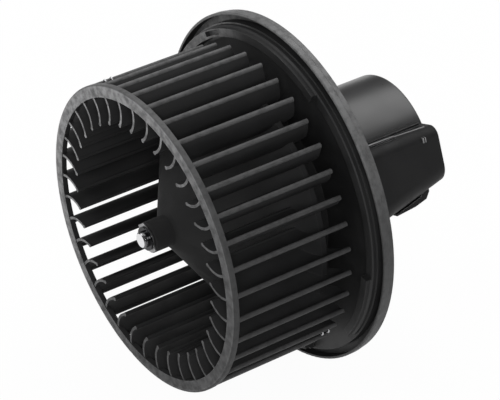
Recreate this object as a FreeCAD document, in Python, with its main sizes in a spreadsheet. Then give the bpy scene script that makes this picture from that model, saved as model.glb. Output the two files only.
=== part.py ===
import FreeCAD, Part

# Car cabin blower motor: a barrel fan wheel on the shaft of a brushed motor in a flanged plastic cover.
#
# Frame: millimetres, +Z up. The motor's axis is the Y axis. The origin is where the axis meets the
# flange's seat, the flat face that lies against the heater box. The fan wheel faces -Y, the motor's
# cover points along +Y. Angles about the axis start at +X and turn towards +Z.

import math
import os
from types import SimpleNamespace

import Sketcher
from FreeCAD import Placement, Rotation, Vector

SIZES = {
    # Running and standing clearances between pieces.
    "bearing_play": 0.03,
    "standing_gap": 0.1,
    "loose_gap": 0.3,
    "air_gap": 0.6,
    # How far a cut or an added rib runs past the surface it ends at.
    "overrun": 1.0,
    # Fan wheel, one moulding.
    "wheel_radius": 75.0,
    "wheel_reach": 74.0,
    "ring_width": 6.0,
    "ring_depth": 2.7,
    "ring_corner": 0.9,
    "blade_count": 37,
    "blade_depth": 18.5,
    "blade_bow_radius": 12.5,
    "blade_thickness": 1.3,
    "blade_bead_radius": 0.95,
    "blade_ridge_radius": 1.2,
    "blade_recess": 0.4,
    "blade_inset": 0.15,
    "blade_rear_reach": 9.5,
    "blade_phase": 0.8,
    "web_rim_inset": 9.0,
    "web_rim_reach": 19.4,
    "web_thickness": 2.8,
    "web_root_radius": 9.75,
    "hub_radius": 7.5,
    "hub_recess": 4.0,
    "hub_depth": 11.0,
    "hub_boss_radius": 10.5,
    "hub_boss_length": 4.7,
    # Shaft, and the spring clip and the circlip that hold the wheel on it.
    "shaft_radius": 4.0,
    "shaft_tip_length": 2.4,
    "shaft_end_gap": 1.1,
    "shaft_chamfer": 0.6,
    "shaft_groove_width": 0.9,
    "shaft_groove_depth": 0.5,
    "circlip_radius": 5.8,
    "circlip_play": 0.05,
    "circlip_stand_off": 0.2,
    "clip_length": 14.2,
    "clip_width": 6.6,
    "clip_thickness": 0.8,
    "clip_middle_radius": 5.2,
    "clip_angle": 130.0,
    # Mounting flange.
    "rim_overhang": 6.4,
    "rim_back_inset": 0.5,
    "rim_corner": 0.4,
    "flange_plate": 3.0,
    "flange_rim_depth": 5.8,
    "flange_rim_width": 6.3,
    "rim_step_reach": 3.0,
    "rim_step_bevel": 0.4,
    "channel_offset": 1.5,
    "channel_depth": 4.6,
    "lip_width": 1.3,
    "collar_clearance": 1.2,
    "collar_width": 4.1,
    "collar_reach": 5.0,
    "collar_low_reach": 2.4,
    "collar_bead": 0.8,
    "collar_bead_reach": 2.75,
    "collar_low_start_angle": -3.0,
    "collar_low_end_angle": 63.0,
    "collar_gap_start_angle": -64.0,
    "collar_gap_end_angle": -32.5,
    "notch_angle": 122.5,
    "notch_width": 12.6,
    "notch_depth": 2.2,
    "notch_ledge": 1.2,
    "notch_skin": 0.6,
    "socket_front_reach": 5.0,
    "flange_rib_count": 12,
    "flange_rib_thickness": 2.0,
    "flange_rib_height": 2.6,
    "flange_rib_gap": 1.0,
    # Screws, alike wherever they are used.
    "screw_radius": 1.9,
    "screw_head_radius": 3.7,
    "screw_crown_radius": 2.8,
    "screw_head_height": 2.4,
    "screw_length": 8.0,
    "screw_count": 3,
    "screw_circle_radius": 39.5,
    "screw_drive_radius": 1.5,
    "retainer_screw_angle": 30.0,
    "cover_screw_angle": 80.0,
    # Motor cover, a smooth cup behind the flange.
    "cover_radius": 34.0,
    "cover_wall": 2.2,
    "cover_room": 4.4,
    "cover_corner_radius": 1.2,
    "cover_inner_corner_radius": 0.8,
    "cover_foot_radius": 44.5,
    "cover_foot_depth": 3.0,
    "window_angle": 22.0,
    "window_width": 20.0,
    "window_length": 12.0,
    # Electrical connector housing on the side of the cover.
    "housing_reach": 46.2,
    "housing_root": 27.8,
    "housing_top": 13.4,
    "housing_low": 14.9,
    "housing_foot_low": 29.4,
    "housing_rear_inset": 2.5,
    "housing_corner_radius": 5.0,
    "housing_low_corner": 9.0,
    "housing_rear_rounding": 2.0,
    "housing_rib_height": 1.2,
    "housing_rib_width": 1.6,
    "housing_step_inset": 20.5,
    "housing_step_height": 0.8,
    "housing_step_width": 5.0,
    "socket_cavity_depth": 15.0,
    "socket_cavity_low": 10.6,
    "socket_cavity_top": 10.4,
    "socket_cavity_height": 7.4,
    "latch_inset": 7.5,
    "latch_length": 20.5,
    "latch_body_length": 9.2,
    "latch_heel_length": 2.4,
    "latch_root_length": 5.0,
    "latch_root_depth": 0.6,
    "latch_gap": 0.7,
    "latch_depth": 3.2,
    "latch_tip_depth": 1.4,
    "latch_width": 6.0,
    "catch_inset": 9.3,
    "catch_length": 1.4,
    "catch_low": 7.9,
    "catch_high": 10.6,
    "catch_height": 0.6,
    # Blade terminals.
    "terminal_width": 5.0,
    "terminal_thickness": 0.8,
    "terminal_spacing": 11.2,
    "terminal_radius": 40.8,
    "terminal_blade_length": 10.0,
    # Motor body: drawn steel yoke with a pocket for the front bearing.
    "yoke_radius": 29.5,
    "yoke_wall": 1.8,
    "yoke_front_reach": 27.0,
    "yoke_corner_radius": 3.0,
    "pocket_radius": 9.4,
    "pocket_wall": 1.7,
    "pocket_depth": 8.4,
    "bearing_ball_radius": 8.0,
    "bearing_width": 8.0,
    "shaft_hole_gap": 0.8,
    "felt_depth": 3.6,
    "retainer_thickness": 0.6,
    "retainer_bore_radius": 5.8,
    "washer_thickness": 1.0,
    "washer_radius": 6.4,
    "magnet_thickness": 5.4,
    "magnet_length": 46.0,
    "magnet_inset": 10.0,
    "magnet_angle": 128.0,
    "magnet_clip_thickness": 1.0,
    "magnet_clip_inset": 2.0,
    "magnet_clip_angle": 44.0,
    "magnet_clip_length": 34.0,
    # Armature.
    "core_inset": 14.0,
    "core_length": 38.0,
    "core_slot_count": 12,
    "slot_mouth_width": 2.4,
    "slot_root_radius": 9.5,
    "slot_shoulder_radius": 18.6,
    "slot_root_width": 2.4,
    "slot_shoulder_width": 6.6,
    "slot_shoulder_rise": 0.8,
    "insulator_thickness": 0.7,
    "winding_bundle_radius": 17.2,
    "winding_bundle_depth": 8.0,
    "winding_inner_radius": 6.0,
    "winding_inner_chamfer": 2.4,
    "winding_outer_chamfer": 3.2,
    "commutator_radius": 11.0,
    "commutator_riser_radius": 12.6,
    "commutator_riser_depth": 1.6,
    "commutator_stand_off": 11.4,
    "commutator_length": 13.4,
    "commutator_slot_width": 0.6,
    "commutator_slot_depth": 1.0,
    # Brush gear on the rear end cap.
    "brush_inset": 6.8,
    "cap_stand_off": 8.8,
    "brush_width": 5.0,
    "brush_depth": 8.0,
    "brush_length": 8.6,
    "brush_lift": 0.15,
    "tube_wall": 0.7,
    "tube_start": 12.9,
    "tube_length": 14.3,
    "tube_cap": 0.6,
    "cap_plate": 3.0,
    "cap_spigot": 4.0,
    "cap_mouth_depth": 3.4,
    "cap_skin": 1.8,
    "brush_spring_radius": 1.7,
    "brush_spring_wire": 0.3,
    "brush_spring_turns": 5,
    "choke_radius": 3.2,
    "choke_end_radius": 3.7,
    "choke_end_depth": 1.4,
    "choke_length": 16.0,
    "choke_offset": 19.6,
    # Rubber rings and the ring that keeps the motor in the flange.
    "damper_depth": 7.0,
    "damper_lip": 2.0,
    "rear_damper_inset": 8.0,
    "rear_damper_depth": 6.0,
    "retainer_ring_depth": 2.6,
    "retainer_ring_radius": 43.5,
    "retainer_ring_gap": 1.0,
}


class Size:
    """A length or angle: its present value, and the formula that ties it to the sheet."""

    def __init__(self, value, formula):
        self.value = value
        self.formula = formula

    def __add__(self, other):
        other = as_size(other)
        return Size(self.value + other.value, f"({self.formula} + {other.formula})")

    def __sub__(self, other):
        other = as_size(other)
        return Size(self.value - other.value, f"({self.formula} - {other.formula})")

    def __mul__(self, other):
        other = as_size(other)
        return Size(self.value * other.value, f"({self.formula} * {other.formula})")

    def __truediv__(self, other):
        other = as_size(other)
        return Size(self.value / other.value, f"({self.formula} / {other.formula})")

    def __neg__(self):
        return Size(-self.value, f"(0 - {self.formula})")

    def __radd__(self, other):
        return as_size(other) + self

    def __rsub__(self, other):
        return as_size(other) - self

    def __rmul__(self, other):
        return as_size(other) * self


def as_size(thing):
    """A plain number as a size that nothing drives."""
    return thing if isinstance(thing, Size) else Size(float(thing), str(thing))


def sine(angle):
    return Size(math.sin(math.radians(angle.value)), f"sin({angle.formula} * 1deg)")


def cosine(angle):
    return Size(math.cos(math.radians(angle.value)), f"cos({angle.formula} * 1deg)")


def root(square):
    return Size(math.sqrt(square.value), f"sqrt({square.formula})")


doc = FreeCAD.newDocument("blower_motor")
sheet = doc.addObject("Spreadsheet::Sheet", "Sizes")
for row, (size_name, size_value) in enumerate(SIZES.items(), start=1):
    sheet.set(f"A{row}", size_name)
    sheet.set(f"B{row}", str(size_value))
    sheet.setAlias(f"B{row}", size_name)
doc.recompute()

s = SimpleNamespace(**{name: Size(sheet.get(name), f"Sizes.{name}") for name in SIZES})

# Places that several pieces share.
wheel_front = -s.wheel_reach
hub_front = wheel_front + s.hub_recess
hub_back = hub_front + s.hub_depth
clip_back = hub_front - s.standing_gap
clip_front = clip_back - s.clip_thickness
groove_back = clip_front - s.circlip_stand_off
groove_front = groove_back - s.shaft_groove_width
shaft_front = groove_front - s.shaft_tip_length
ring_bore_radius = s.wheel_radius - s.ring_width
blade_tip_radius = s.wheel_radius - s.blade_depth
web_rim_radius = s.wheel_radius - s.web_rim_inset
web_slope = (hub_back + s.web_rim_reach) / (s.web_root_radius - web_rim_radius)
collar_bore_radius = s.wheel_radius + s.collar_clearance
collar_radius = collar_bore_radius + s.collar_width
channel_inner_radius = collar_radius + s.channel_offset
flange_radius = collar_radius + s.rim_overhang
flange_back_radius = flange_radius - s.rim_back_inset
yoke_front = -s.yoke_front_reach
pocket_front = yoke_front - s.pocket_depth
core_front = yoke_front + s.core_inset
core_back = core_front + s.core_length
commutator_front = core_back + s.commutator_stand_off
brush_centre = commutator_front + s.brush_inset
cap_front = brush_centre + s.cap_stand_off
cap_back = cap_front + s.cap_plate
front_bearing_middle = pocket_front + s.bearing_width / 2 + s.standing_gap
rear_pocket_back = cap_back + s.pocket_depth - s.cap_skin
rear_bearing_middle = rear_pocket_back - s.bearing_width / 2 - s.standing_gap
shaft_back = rear_pocket_back - s.shaft_end_gap
cover_inner_back = rear_pocket_back + s.cap_skin + s.cover_room
cover_back = cover_inner_back + s.cover_wall
housing_back = cover_back - s.housing_rear_inset
yoke_bore_radius = s.yoke_radius - s.yoke_wall
cover_bore_radius = s.cover_radius - s.cover_wall
cover_foot = s.flange_plate
magnet_inner_radius = yoke_bore_radius - s.standing_gap - s.magnet_thickness
core_radius = magnet_inner_radius - s.air_gap


def web_rear(radius):
    """Where the wheel's cone has its rear surface, at a radius."""
    return hub_back + s.web_thickness + (radius - s.web_root_radius) * web_slope


def new_body(label):
    body = doc.addObject("PartDesign::Body", label)
    body.Label = label
    return body


def origin_plane(body, role):
    return next(item for item in body.Origin.OriginFeatures if item.Role == role)


def bend(radius, left):
    """An arc in an outline, to the next corner: its radius, and whether it turns left."""
    return ("bend", radius, left)


def bend_centre(start, end, radius, left):
    """The centre of an arc of less than half a turn between two points."""
    middle = (start + end) * 0.5
    chord = end - start
    rise = math.sqrt(max(radius * radius - chord.Length * chord.Length / 4.0, 0.0))
    side = Vector(-chord.y, chord.x, 0).normalize()
    return middle + side * (rise if left else -rise)


def bind(sketch, size, *constraint):
    """Adds one constraint whose value follows the sheet."""
    size = as_size(size)
    number = sketch.addConstraint(Sketcher.Constraint(*constraint, size.value))
    sketch.setExpression(f"Constraints[{number}]", size.formula)


def draw_circle(sketch, centre, radius):
    middle = Vector(as_size(centre[0]).value, as_size(centre[1]).value, 0)
    number = sketch.addGeometry(Part.Circle(middle, Vector(0, 0, 1), as_size(radius).value), False)
    bind(sketch, centre[0], "DistanceX", -1, 1, number, 3)
    bind(sketch, centre[1], "DistanceY", -1, 1, number, 3)
    bind(sketch, radius, "Radius", number)


def draw(sketch, outline):
    """Draws one closed outline of corners (over, up) and bends, each bound to the sheet."""
    if outline[0] == "circle":
        draw_circle(sketch, outline[1], outline[2])
        return
    corners = [item for item in outline if item[0] != "bend"]
    bends = {}
    seen = 0
    for item in outline:
        if item[0] == "bend":
            bends[seen - 1] = item
        else:
            seen += 1
    points = [Vector(as_size(x).value, as_size(y).value, 0) for x, y in corners]
    first = sketch.GeometryCount
    ends = []
    for index, start in enumerate(points):
        end = points[(index + 1) % len(points)]
        if index in bends:
            _, radius, left = bends[index]
            centre = bend_centre(start, end, as_size(radius).value, left)
            begin, finish = (start, end) if left else (end, start)
            turn_from = math.atan2(begin.y - centre.y, begin.x - centre.x)
            turn_to = math.atan2(finish.y - centre.y, finish.x - centre.x)
            circle = Part.Circle(centre, Vector(0, 0, 1), as_size(radius).value)
            sketch.addGeometry(Part.ArcOfCircle(circle, turn_from, turn_to), False)
            ends.append((1, 2) if left else (2, 1))
        else:
            sketch.addGeometry(Part.LineSegment(start, end), False)
            ends.append((1, 2))
    for index in range(len(points)):
        after = (index + 1) % len(points)
        joint = Sketcher.Constraint(
            "Coincident", first + index, ends[index][1], first + after, ends[after][0])
        sketch.addConstraint(joint)
    for index, (over, up) in enumerate(corners):
        bind(sketch, over, "DistanceX", -1, 1, first + index, ends[index][0])
        bind(sketch, up, "DistanceY", -1, 1, first + index, ends[index][0])
    for index, (_, radius, _) in bends.items():
        bind(sketch, radius, "Radius", first + index)


def new_sketch(body, name, role, outlines, offset=0):
    sketch = body.newObject("Sketcher::SketchObject", name)
    sketch.AttachmentSupport = [(origin_plane(body, role), "")]
    sketch.MapMode = "FlatFace"
    sketch.setExpression("AttachmentOffset.Base.z", as_size(offset).formula)
    for outline in outlines:
        draw(sketch, outline)
    return sketch


def turned(body, name, *outlines, cut=False):
    """Turns outlines of (radius, along the axis) about the motor's axis."""
    sketch = new_sketch(body, name + "_sketch", "XY_Plane", outlines)
    kind = "PartDesign::Groove" if cut else "PartDesign::Revolution"
    feature = body.newObject(kind, name)
    feature.Profile = sketch
    feature.ReferenceAxis = (sketch, ["V_Axis"])
    feature.Angle = 360
    return feature


def across(body, name, start, end, *outlines, cut=False):
    """Extrudes outlines of (x, z) along the axis, from one place on it to another."""
    start, end = as_size(start), as_size(end)
    sketch = new_sketch(body, name + "_sketch", "XZ_Plane", outlines, -start)
    kind = "PartDesign::Pocket" if cut else "PartDesign::Pad"
    feature = body.newObject(kind, name)
    feature.Profile = sketch
    feature.setExpression("Length", (end - start).formula)
    feature.Reversed = not cut
    return feature


def around(body, name, features, count):
    """Repeats features evenly about the axis."""
    pattern = body.newObject("PartDesign::PolarPattern", name)
    pattern.Originals = features
    pattern.Axis = (origin_plane(body, "Y_Axis"), [""])
    pattern.Angle = 360
    pattern.setExpression("Occurrences", as_size(count).formula)
    body.Tip = pattern
    return pattern


def turn_body(body, angle):
    """Turns a whole body about the axis, from +X towards +Z."""
    body.Placement = Placement(Vector(0, 0, 0), Rotation(Vector(0, 1, 0), -as_size(angle).value))
    body.setExpression("Placement.Rotation.Angle", (-as_size(angle)).formula)


def ring(inner, outer, start, end):
    """The outline of a plain ring: inner and outer radius, and its two ends."""
    return [(inner, start), (outer, start), (outer, end), (inner, end)]


def box(left, right, low, high):
    return [(left, low), (right, low), (right, high), (left, high)]


def circle(centre, radius):
    """A full circle, in the place of an outline."""
    return ("circle", centre, radius)


def polar(radius, angle):
    return radius * cosine(angle), radius * sine(angle)


def sector(inner, outer, start, end):
    """The outline of a ring's sector between two angles less than half a turn apart."""
    return [
        polar(inner, start),
        polar(outer, start),
        bend(outer, True),
        polar(outer, end),
        polar(inner, end),
        bend(inner, False),
    ]


def make_fan_wheel():
    """The barrel of curved blades between a front ring and a conical web with the hub."""
    body = new_body("fan_wheel")
    bore = s.shaft_radius + s.bearing_play
    boss_back = web_rear(s.hub_boss_radius) + s.hub_boss_length
    turned(body, "web_and_hub", [
        (bore, hub_front),
        (s.hub_radius, hub_front),
        (s.hub_radius, hub_back - s.ring_corner),
        (s.web_root_radius, hub_back),
        (web_rim_radius, -s.web_rim_reach),
        (web_rim_radius, web_rear(web_rim_radius)),
        (s.hub_boss_radius, web_rear(s.hub_boss_radius)),
        (s.hub_boss_radius, boss_back),
        (bore, boss_back),
    ])
    ring_back = wheel_front + s.ring_depth
    turned(body, "front_ring", [
        (ring_bore_radius, wheel_front),
        (s.wheel_radius - s.ring_corner, wheel_front),
        bend(s.ring_corner, True),
        (s.wheel_radius, wheel_front + s.ring_corner),
        (s.wheel_radius, ring_back),
        (ring_bore_radius, ring_back),
    ])
    outer = s.wheel_radius - s.blade_inset - s.blade_ridge_radius
    half_chord = (outer - blade_tip_radius) / 2
    middle = (outer + blade_tip_radius) / 2
    centre_rise = root(s.blade_bow_radius * s.blade_bow_radius - half_chord * half_chord)
    cosine_end = centre_rise / s.blade_bow_radius
    sine_end = half_chord / s.blade_bow_radius
    hollow = s.blade_bow_radius - s.blade_thickness / 2
    back = s.blade_bow_radius + s.blade_thickness / 2
    hollow_tip = (middle - hollow * sine_end, centre_rise - hollow * cosine_end)
    back_tip = (middle - back * sine_end, centre_rise - back * cosine_end)
    hollow_out = (middle + hollow * sine_end, centre_rise - hollow * cosine_end)
    back_out = (middle + back * sine_end, centre_rise - back * cosine_end)
    blade_front = wheel_front + s.blade_recess
    blade = across(body, "blade", blade_front, -s.blade_rear_reach, [
        back_tip,
        bend(back, True),
        back_out,
        hollow_out,
        bend(hollow, False),
        hollow_tip,
    ])
    bead = across(body, "bead", blade_front, -s.blade_rear_reach, circle(
        (blade_tip_radius, 0), s.blade_bead_radius))
    ridge = across(body, "ridge", blade_front, -s.blade_rear_reach, circle(
        (outer, 0), s.blade_ridge_radius))
    around(body, "blades", [blade, bead, ridge], s.blade_count)
    # The blades end at the cone's rear, except outside its rim.
    inside = blade_tip_radius - s.blade_bead_radius - s.overrun
    past_blades = s.overrun - s.blade_rear_reach
    turned(body, "behind_the_web", [
        (inside, web_rear(inside)),
        (web_rim_radius, -s.blade_rear_reach),
        (web_rim_radius, past_blades),
        (inside, past_blades),
    ], cut=True)
    turn_body(body, -s.blade_phase)
    return body


def make_motor_shaft():
    body = new_body("motor_shaft")
    neck = s.shaft_radius - s.shaft_groove_depth
    turned(body, "shaft", [
        (0, shaft_front),
        (s.shaft_radius - s.shaft_chamfer, shaft_front),
        (s.shaft_radius, shaft_front + s.shaft_chamfer),
        (s.shaft_radius, groove_front),
        (neck, groove_front),
        (neck, groove_back),
        (s.shaft_radius, groove_back),
        (s.shaft_radius, shaft_back - s.shaft_chamfer),
        (s.shaft_radius - s.shaft_chamfer, shaft_back),
        (0, shaft_back),
    ])
    return body


def make_fan_clip():
    """A spring plate with a hole, across the front of the hub."""
    body = new_body("fan_clip")
    half_length, half_width = s.clip_length / 2, s.clip_width / 2
    corner = s.clip_width / 3
    across(body, "plate", clip_front, clip_back, [
        (half_length - corner, -half_width),
        (half_length, -half_width + corner),
        (half_length, half_width),
        (corner - half_length, half_width),
        (-half_length, half_width - corner),
        (-half_length, -half_width),
    ])
    bore = s.shaft_radius + s.bearing_play
    turned(body, "middle", ring(0, s.clip_middle_radius, clip_front, clip_back))
    turned(body, "hole", ring(0, bore, clip_front - s.overrun, clip_back + s.overrun), cut=True)
    turn_body(body, s.clip_angle)
    return body


def make_shaft_circlip():
    """The hardened ring in the shaft's groove, in front of the spring clip."""
    body = new_body("shaft_circlip")
    neck = s.shaft_radius - s.shaft_groove_depth + s.circlip_play
    turned(body, "circlip", ring(
        neck, s.circlip_radius, groove_front + s.circlip_play, groove_back - s.circlip_play))
    return body


def make_mounting_flange():
    """The round plate with a channelled rim, the bayonet collar and the motor's socket."""
    body = new_body("mounting_flange")
    socket_bore = cover_bore_radius
    socket_outer = s.cover_foot_radius
    rim_inner = flange_radius - s.flange_rim_width
    turned(body, "plate_and_rim", [
        (socket_bore, -s.socket_front_reach),
        (socket_outer, -s.socket_front_reach),
        (socket_outer, 0),
        (channel_inner_radius, 0),
        (channel_inner_radius, s.channel_depth),
        (flange_radius - s.lip_width, s.channel_depth),
        (flange_radius - s.lip_width, 0),
        (flange_radius - s.rim_corner, 0),
        bend(s.rim_corner, True),
        (flange_radius, s.rim_corner),
        (flange_radius, s.rim_step_reach),
        (flange_back_radius, s.rim_step_reach + s.rim_step_bevel),
        (flange_back_radius, s.flange_rim_depth),
        (rim_inner, s.flange_rim_depth),
        (rim_inner, s.flange_plate),
        (socket_bore, s.flange_plate),
    ])
    collar_front = -s.collar_reach
    bead_start = -s.collar_bead_reach
    turned(body, "collar", [
        (collar_bore_radius, collar_front),
        (collar_radius, collar_front),
        (collar_radius, bead_start),
        (collar_radius + s.collar_bead, bead_start + s.collar_bead),
        (collar_radius + s.collar_bead, s.flange_plate / 2),
        (collar_bore_radius, s.flange_plate / 2),
    ])
    inside = collar_bore_radius - s.overrun
    outside = collar_radius + s.collar_bead + s.overrun
    before = collar_front - s.overrun
    across(body, "low_collar", before, -s.collar_low_reach, sector(
        inside, outside, s.collar_low_start_angle, s.collar_low_end_angle), cut=True)
    across(body, "collar_gap", before, 0, sector(
        inside, outside, s.collar_gap_start_angle, s.collar_gap_end_angle), cut=True)
    notch_half = s.notch_width / 2 / collar_radius * math.degrees(1)
    across(body, "notch", before, collar_front + s.notch_depth, sector(
        collar_bore_radius + s.notch_ledge, collar_radius - s.notch_skin,
        s.notch_angle - notch_half, s.notch_angle + notch_half), cut=True)
    half = s.flange_rib_thickness / 2
    rib = across(body, "rib", s.flange_plate / 2, s.flange_plate + s.flange_rib_height, box(
        socket_outer + s.flange_rib_gap, rim_inner + s.overrun, -half, half))
    around(body, "ribs", [rib], s.flange_rib_count)
    for name, angle in (("retainer_hole", s.retainer_screw_angle), ("cover_hole", s.cover_screw_angle)):
        hole = screw_hole(body, name, angle, -s.socket_front_reach, s.flange_plate)
        around(body, name + "s", [hole], s.screw_count)
    return body


def screw_hole(body, name, angle, start, end):
    """A round hole for one screw, at an angle on the screws' circle."""
    centre = polar(s.screw_circle_radius, angle)
    radius = s.screw_radius + s.standing_gap
    return across(body, name, start - s.overrun, end + s.overrun, circle(centre, radius), cut=True)


def make_motor_cover():
    """The smooth cup around the motor, with a foot that is screwed to the flange."""
    body = new_body("motor_cover")
    bore = cover_bore_radius
    turned(body, "cup", [
        (bore, cover_foot),
        (s.cover_foot_radius, cover_foot),
        (s.cover_foot_radius, cover_foot + s.cover_foot_depth),
        (s.cover_radius, cover_foot + s.cover_foot_depth),
        (s.cover_radius, cover_back - s.cover_corner_radius),
        bend(s.cover_corner_radius, True),
        (s.cover_radius - s.cover_corner_radius, cover_back),
        (0, cover_back),
        (0, cover_inner_back),
        (bore - s.cover_inner_corner_radius, cover_inner_back),
        bend(s.cover_inner_corner_radius, False),
        (bore, cover_inner_back - s.cover_inner_corner_radius),
    ])
    hole = screw_hole(body, "foot_hole", s.cover_screw_angle, cover_foot,
                      cover_foot + s.cover_foot_depth)
    around(body, "foot_holes", [hole], s.screw_count)
    window_middle = cap_front + s.cap_plate / 2
    near = polar(s.cover_radius - s.cover_wall * 3, s.window_angle)
    far = polar(s.cover_radius + s.cover_wall * 3, s.window_angle)
    over, up = polar(s.window_width / 2, s.window_angle + 90)
    across(body, "window", window_middle - s.window_length / 2, window_middle + s.window_length / 2, [
        (near[0] - over, near[1] - up),
        (far[0] - over, far[1] - up),
        (far[0] + over, far[1] + up),
        (near[0] + over, near[1] + up),
    ], cut=True)
    return body


def housing_outline(low):
    """The housing's section: x points straight out from the axis, z round towards its top."""
    corner = s.housing_corner_radius
    low_corner = s.housing_low_corner
    return [
        (s.housing_root, -low),
        (s.housing_reach - low_corner, -low),
        bend(low_corner, True),
        (s.housing_reach, low_corner - low),
        (s.housing_reach, s.housing_top - corner),
        bend(corner, True),
        (s.housing_reach - corner, s.housing_top),
        (s.housing_root, s.housing_top),
    ]


def make_connector_housing():
    """The box on the cover's side: its low side widens towards the flange."""
    body = new_body("connector_housing")
    start = cover_foot + s.cover_foot_depth + s.standing_gap
    back = housing_back
    foot = new_sketch(body, "foot_sketch", "XZ_Plane", [housing_outline(s.housing_foot_low)], -start)
    end = new_sketch(body, "end_sketch", "XZ_Plane", [housing_outline(s.housing_low)], -back)
    loft = body.newObject("PartDesign::AdditiveLoft", "shell")
    loft.Profile = foot
    loft.Sections = [end]
    loft.Ruled = True
    rib_base = s.housing_top - s.overrun
    rib_top = s.housing_top + s.housing_rib_height
    rib_inner = s.cover_radius - s.cover_wall
    across(body, "seam_rib", start, back - s.housing_rear_rounding, box(
        rib_inner, rib_inner + s.housing_rib_width + s.cover_wall, rib_base, rib_top))
    step_back = housing_back - s.housing_step_inset
    step_left = s.housing_reach - s.housing_corner_radius - s.housing_step_width
    across(body, "step", start, step_back, box(
        step_left, s.housing_reach - s.housing_corner_radius, rib_base,
        s.housing_top + s.housing_step_height))
    slope = (s.housing_foot_low - s.housing_low) / (back - start)

    def low_side(place):
        return -(s.housing_low + slope * (back - place))

    # The latch hangs below the low side, rooted in it at its rear end.
    rear = housing_back - s.latch_inset
    heel = rear - s.latch_heel_length
    bend_place = rear - s.latch_body_length
    tip = rear - s.latch_length
    root_front = rear - s.latch_root_length
    latch = new_sketch(body, "latch_sketch", "YZ_Plane", [[
        (root_front, low_side(root_front) + s.latch_root_depth),
        (root_front, low_side(root_front) - s.latch_gap),
        (tip, low_side(tip) - s.latch_gap),
        (tip, low_side(tip) - s.latch_tip_depth),
        (bend_place, low_side(bend_place) - s.latch_depth),
        (heel, low_side(heel) - s.latch_depth),
        (rear, low_side(rear) - s.latch_gap),
        (rear, low_side(rear) + s.latch_root_depth),
    ]], s.cover_radius + s.loose_gap)
    arm = body.newObject("PartDesign::Pad", "latch")
    arm.Profile = latch
    arm.setExpression("Length", s.latch_width.formula)
    catch_front = housing_back - s.catch_inset
    across(body, "catch", catch_front, catch_front + s.catch_length, box(
        s.housing_reach - s.housing_corner_radius, s.housing_reach + s.catch_height, s.catch_low,
        s.catch_high))
    behind = back + s.overrun
    turned(body, "cover_seat", ring(0, s.cover_radius + s.standing_gap, start - s.overrun, behind),
           cut=True)
    across(body, "socket_cavity", back - s.socket_cavity_depth, behind, box(
        terminal_low(), terminal_low() + s.socket_cavity_height, -s.socket_cavity_low,
        s.socket_cavity_top), cut=True)
    slot_front = cap_front + s.cap_plate / 2 - s.terminal_thickness * 1.5
    half = s.terminal_spacing / 2 + s.terminal_width / 2 + s.loose_gap
    across(body, "terminal_slot", slot_front, slot_front + s.terminal_thickness * 3, box(
        s.cover_radius - s.cover_wall * 2, s.terminal_radius + s.terminal_thickness * 1.5, -half,
        half), cut=True)
    turn_body(body, s.window_angle)
    return body


def terminal_low():
    """The socket's inner wall: the blades stand in the middle of its height."""
    return s.terminal_radius + s.terminal_thickness / 2 - s.socket_cavity_height / 2


def make_terminal(label, side):
    """A flat strip that leaves the end cap outwards and turns back as a blade."""
    body = new_body(label)
    middle = cap_front + s.cap_plate / 2
    half = s.terminal_thickness / 2
    inner = s.yoke_radius
    sketch_offset = side * s.terminal_spacing / 2 - s.terminal_width / 2
    strip = new_sketch(body, "strip_sketch", "XY_Plane", [[
        (inner, middle - half),
        (s.terminal_radius + s.terminal_thickness, middle - half),
        (s.terminal_radius + s.terminal_thickness, middle + s.terminal_blade_length),
        (s.terminal_radius, middle + s.terminal_blade_length),
        (s.terminal_radius, middle + half),
        (inner, middle + half),
    ]], sketch_offset)
    pad = body.newObject("PartDesign::Pad", "strip")
    pad.Profile = strip
    pad.setExpression("Length", s.terminal_width.formula)
    turn_body(body, s.window_angle)
    return body


def make_motor_yoke():
    """The drawn steel body, closed at the front with a pocket for the bearing."""
    body = new_body("motor_yoke")
    front = yoke_front
    inner_front = front + s.yoke_wall
    corner = s.yoke_corner_radius
    outer_pocket = s.pocket_radius + s.pocket_wall
    shaft_hole = s.shaft_radius + s.shaft_hole_gap
    turned(body, "drawn_cup", [
        (shaft_hole, pocket_front - s.yoke_wall),
        (outer_pocket, pocket_front - s.yoke_wall),
        (outer_pocket, front),
        (s.yoke_radius - corner, front),
        bend(corner, True),
        (s.yoke_radius, front + corner),
        (s.yoke_radius, cap_front),
        (yoke_bore_radius, cap_front),
        (yoke_bore_radius, inner_front),
        (s.pocket_radius, inner_front),
        (s.pocket_radius, pocket_front),
        (shaft_hole, pocket_front),
    ])
    return body


def make_bearing(label, middle):
    """A sintered bush, round outside like a ball with two flat ends."""
    body = new_body(label)
    half = s.bearing_width / 2
    end_radius = root(s.bearing_ball_radius * s.bearing_ball_radius - half * half)
    bore = s.shaft_radius + s.bearing_play
    turned(body, "bush", [
        (bore, middle - half),
        (end_radius, middle - half),
        bend(s.bearing_ball_radius, True),
        (end_radius, middle + half),
        (bore, middle + half),
    ])
    return body


def make_felt_ring(label, middle):
    """Oil-soaked felt around the bearing, inside its pocket."""
    body = new_body(label)
    half = s.felt_depth / 2
    turned(body, "felt", ring(s.bearing_ball_radius + s.standing_gap,
                              s.pocket_radius - s.standing_gap, middle - half, middle + half))
    return body


def make_bearing_retainer(label, place):
    """A thin spring washer that keeps the bearing and the felt in the pocket."""
    body = new_body(label)
    turned(body, "washer", ring(s.retainer_bore_radius, s.pocket_radius - s.standing_gap, place,
                                place + s.retainer_thickness))
    return body


def make_thrust_washer(label, place):
    body = new_body(label)
    turned(body, "washer", ring(s.shaft_radius + s.bearing_play, s.washer_radius, place,
                                place + s.washer_thickness))
    return body


def make_magnet(label, middle_angle):
    body = new_body(label)
    outer = yoke_bore_radius - s.standing_gap
    start = yoke_front + s.magnet_inset
    across(body, "segment", start, start + s.magnet_length, sector(
        outer - s.magnet_thickness, outer, middle_angle - s.magnet_angle / 2,
        middle_angle + s.magnet_angle / 2))
    return body


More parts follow.
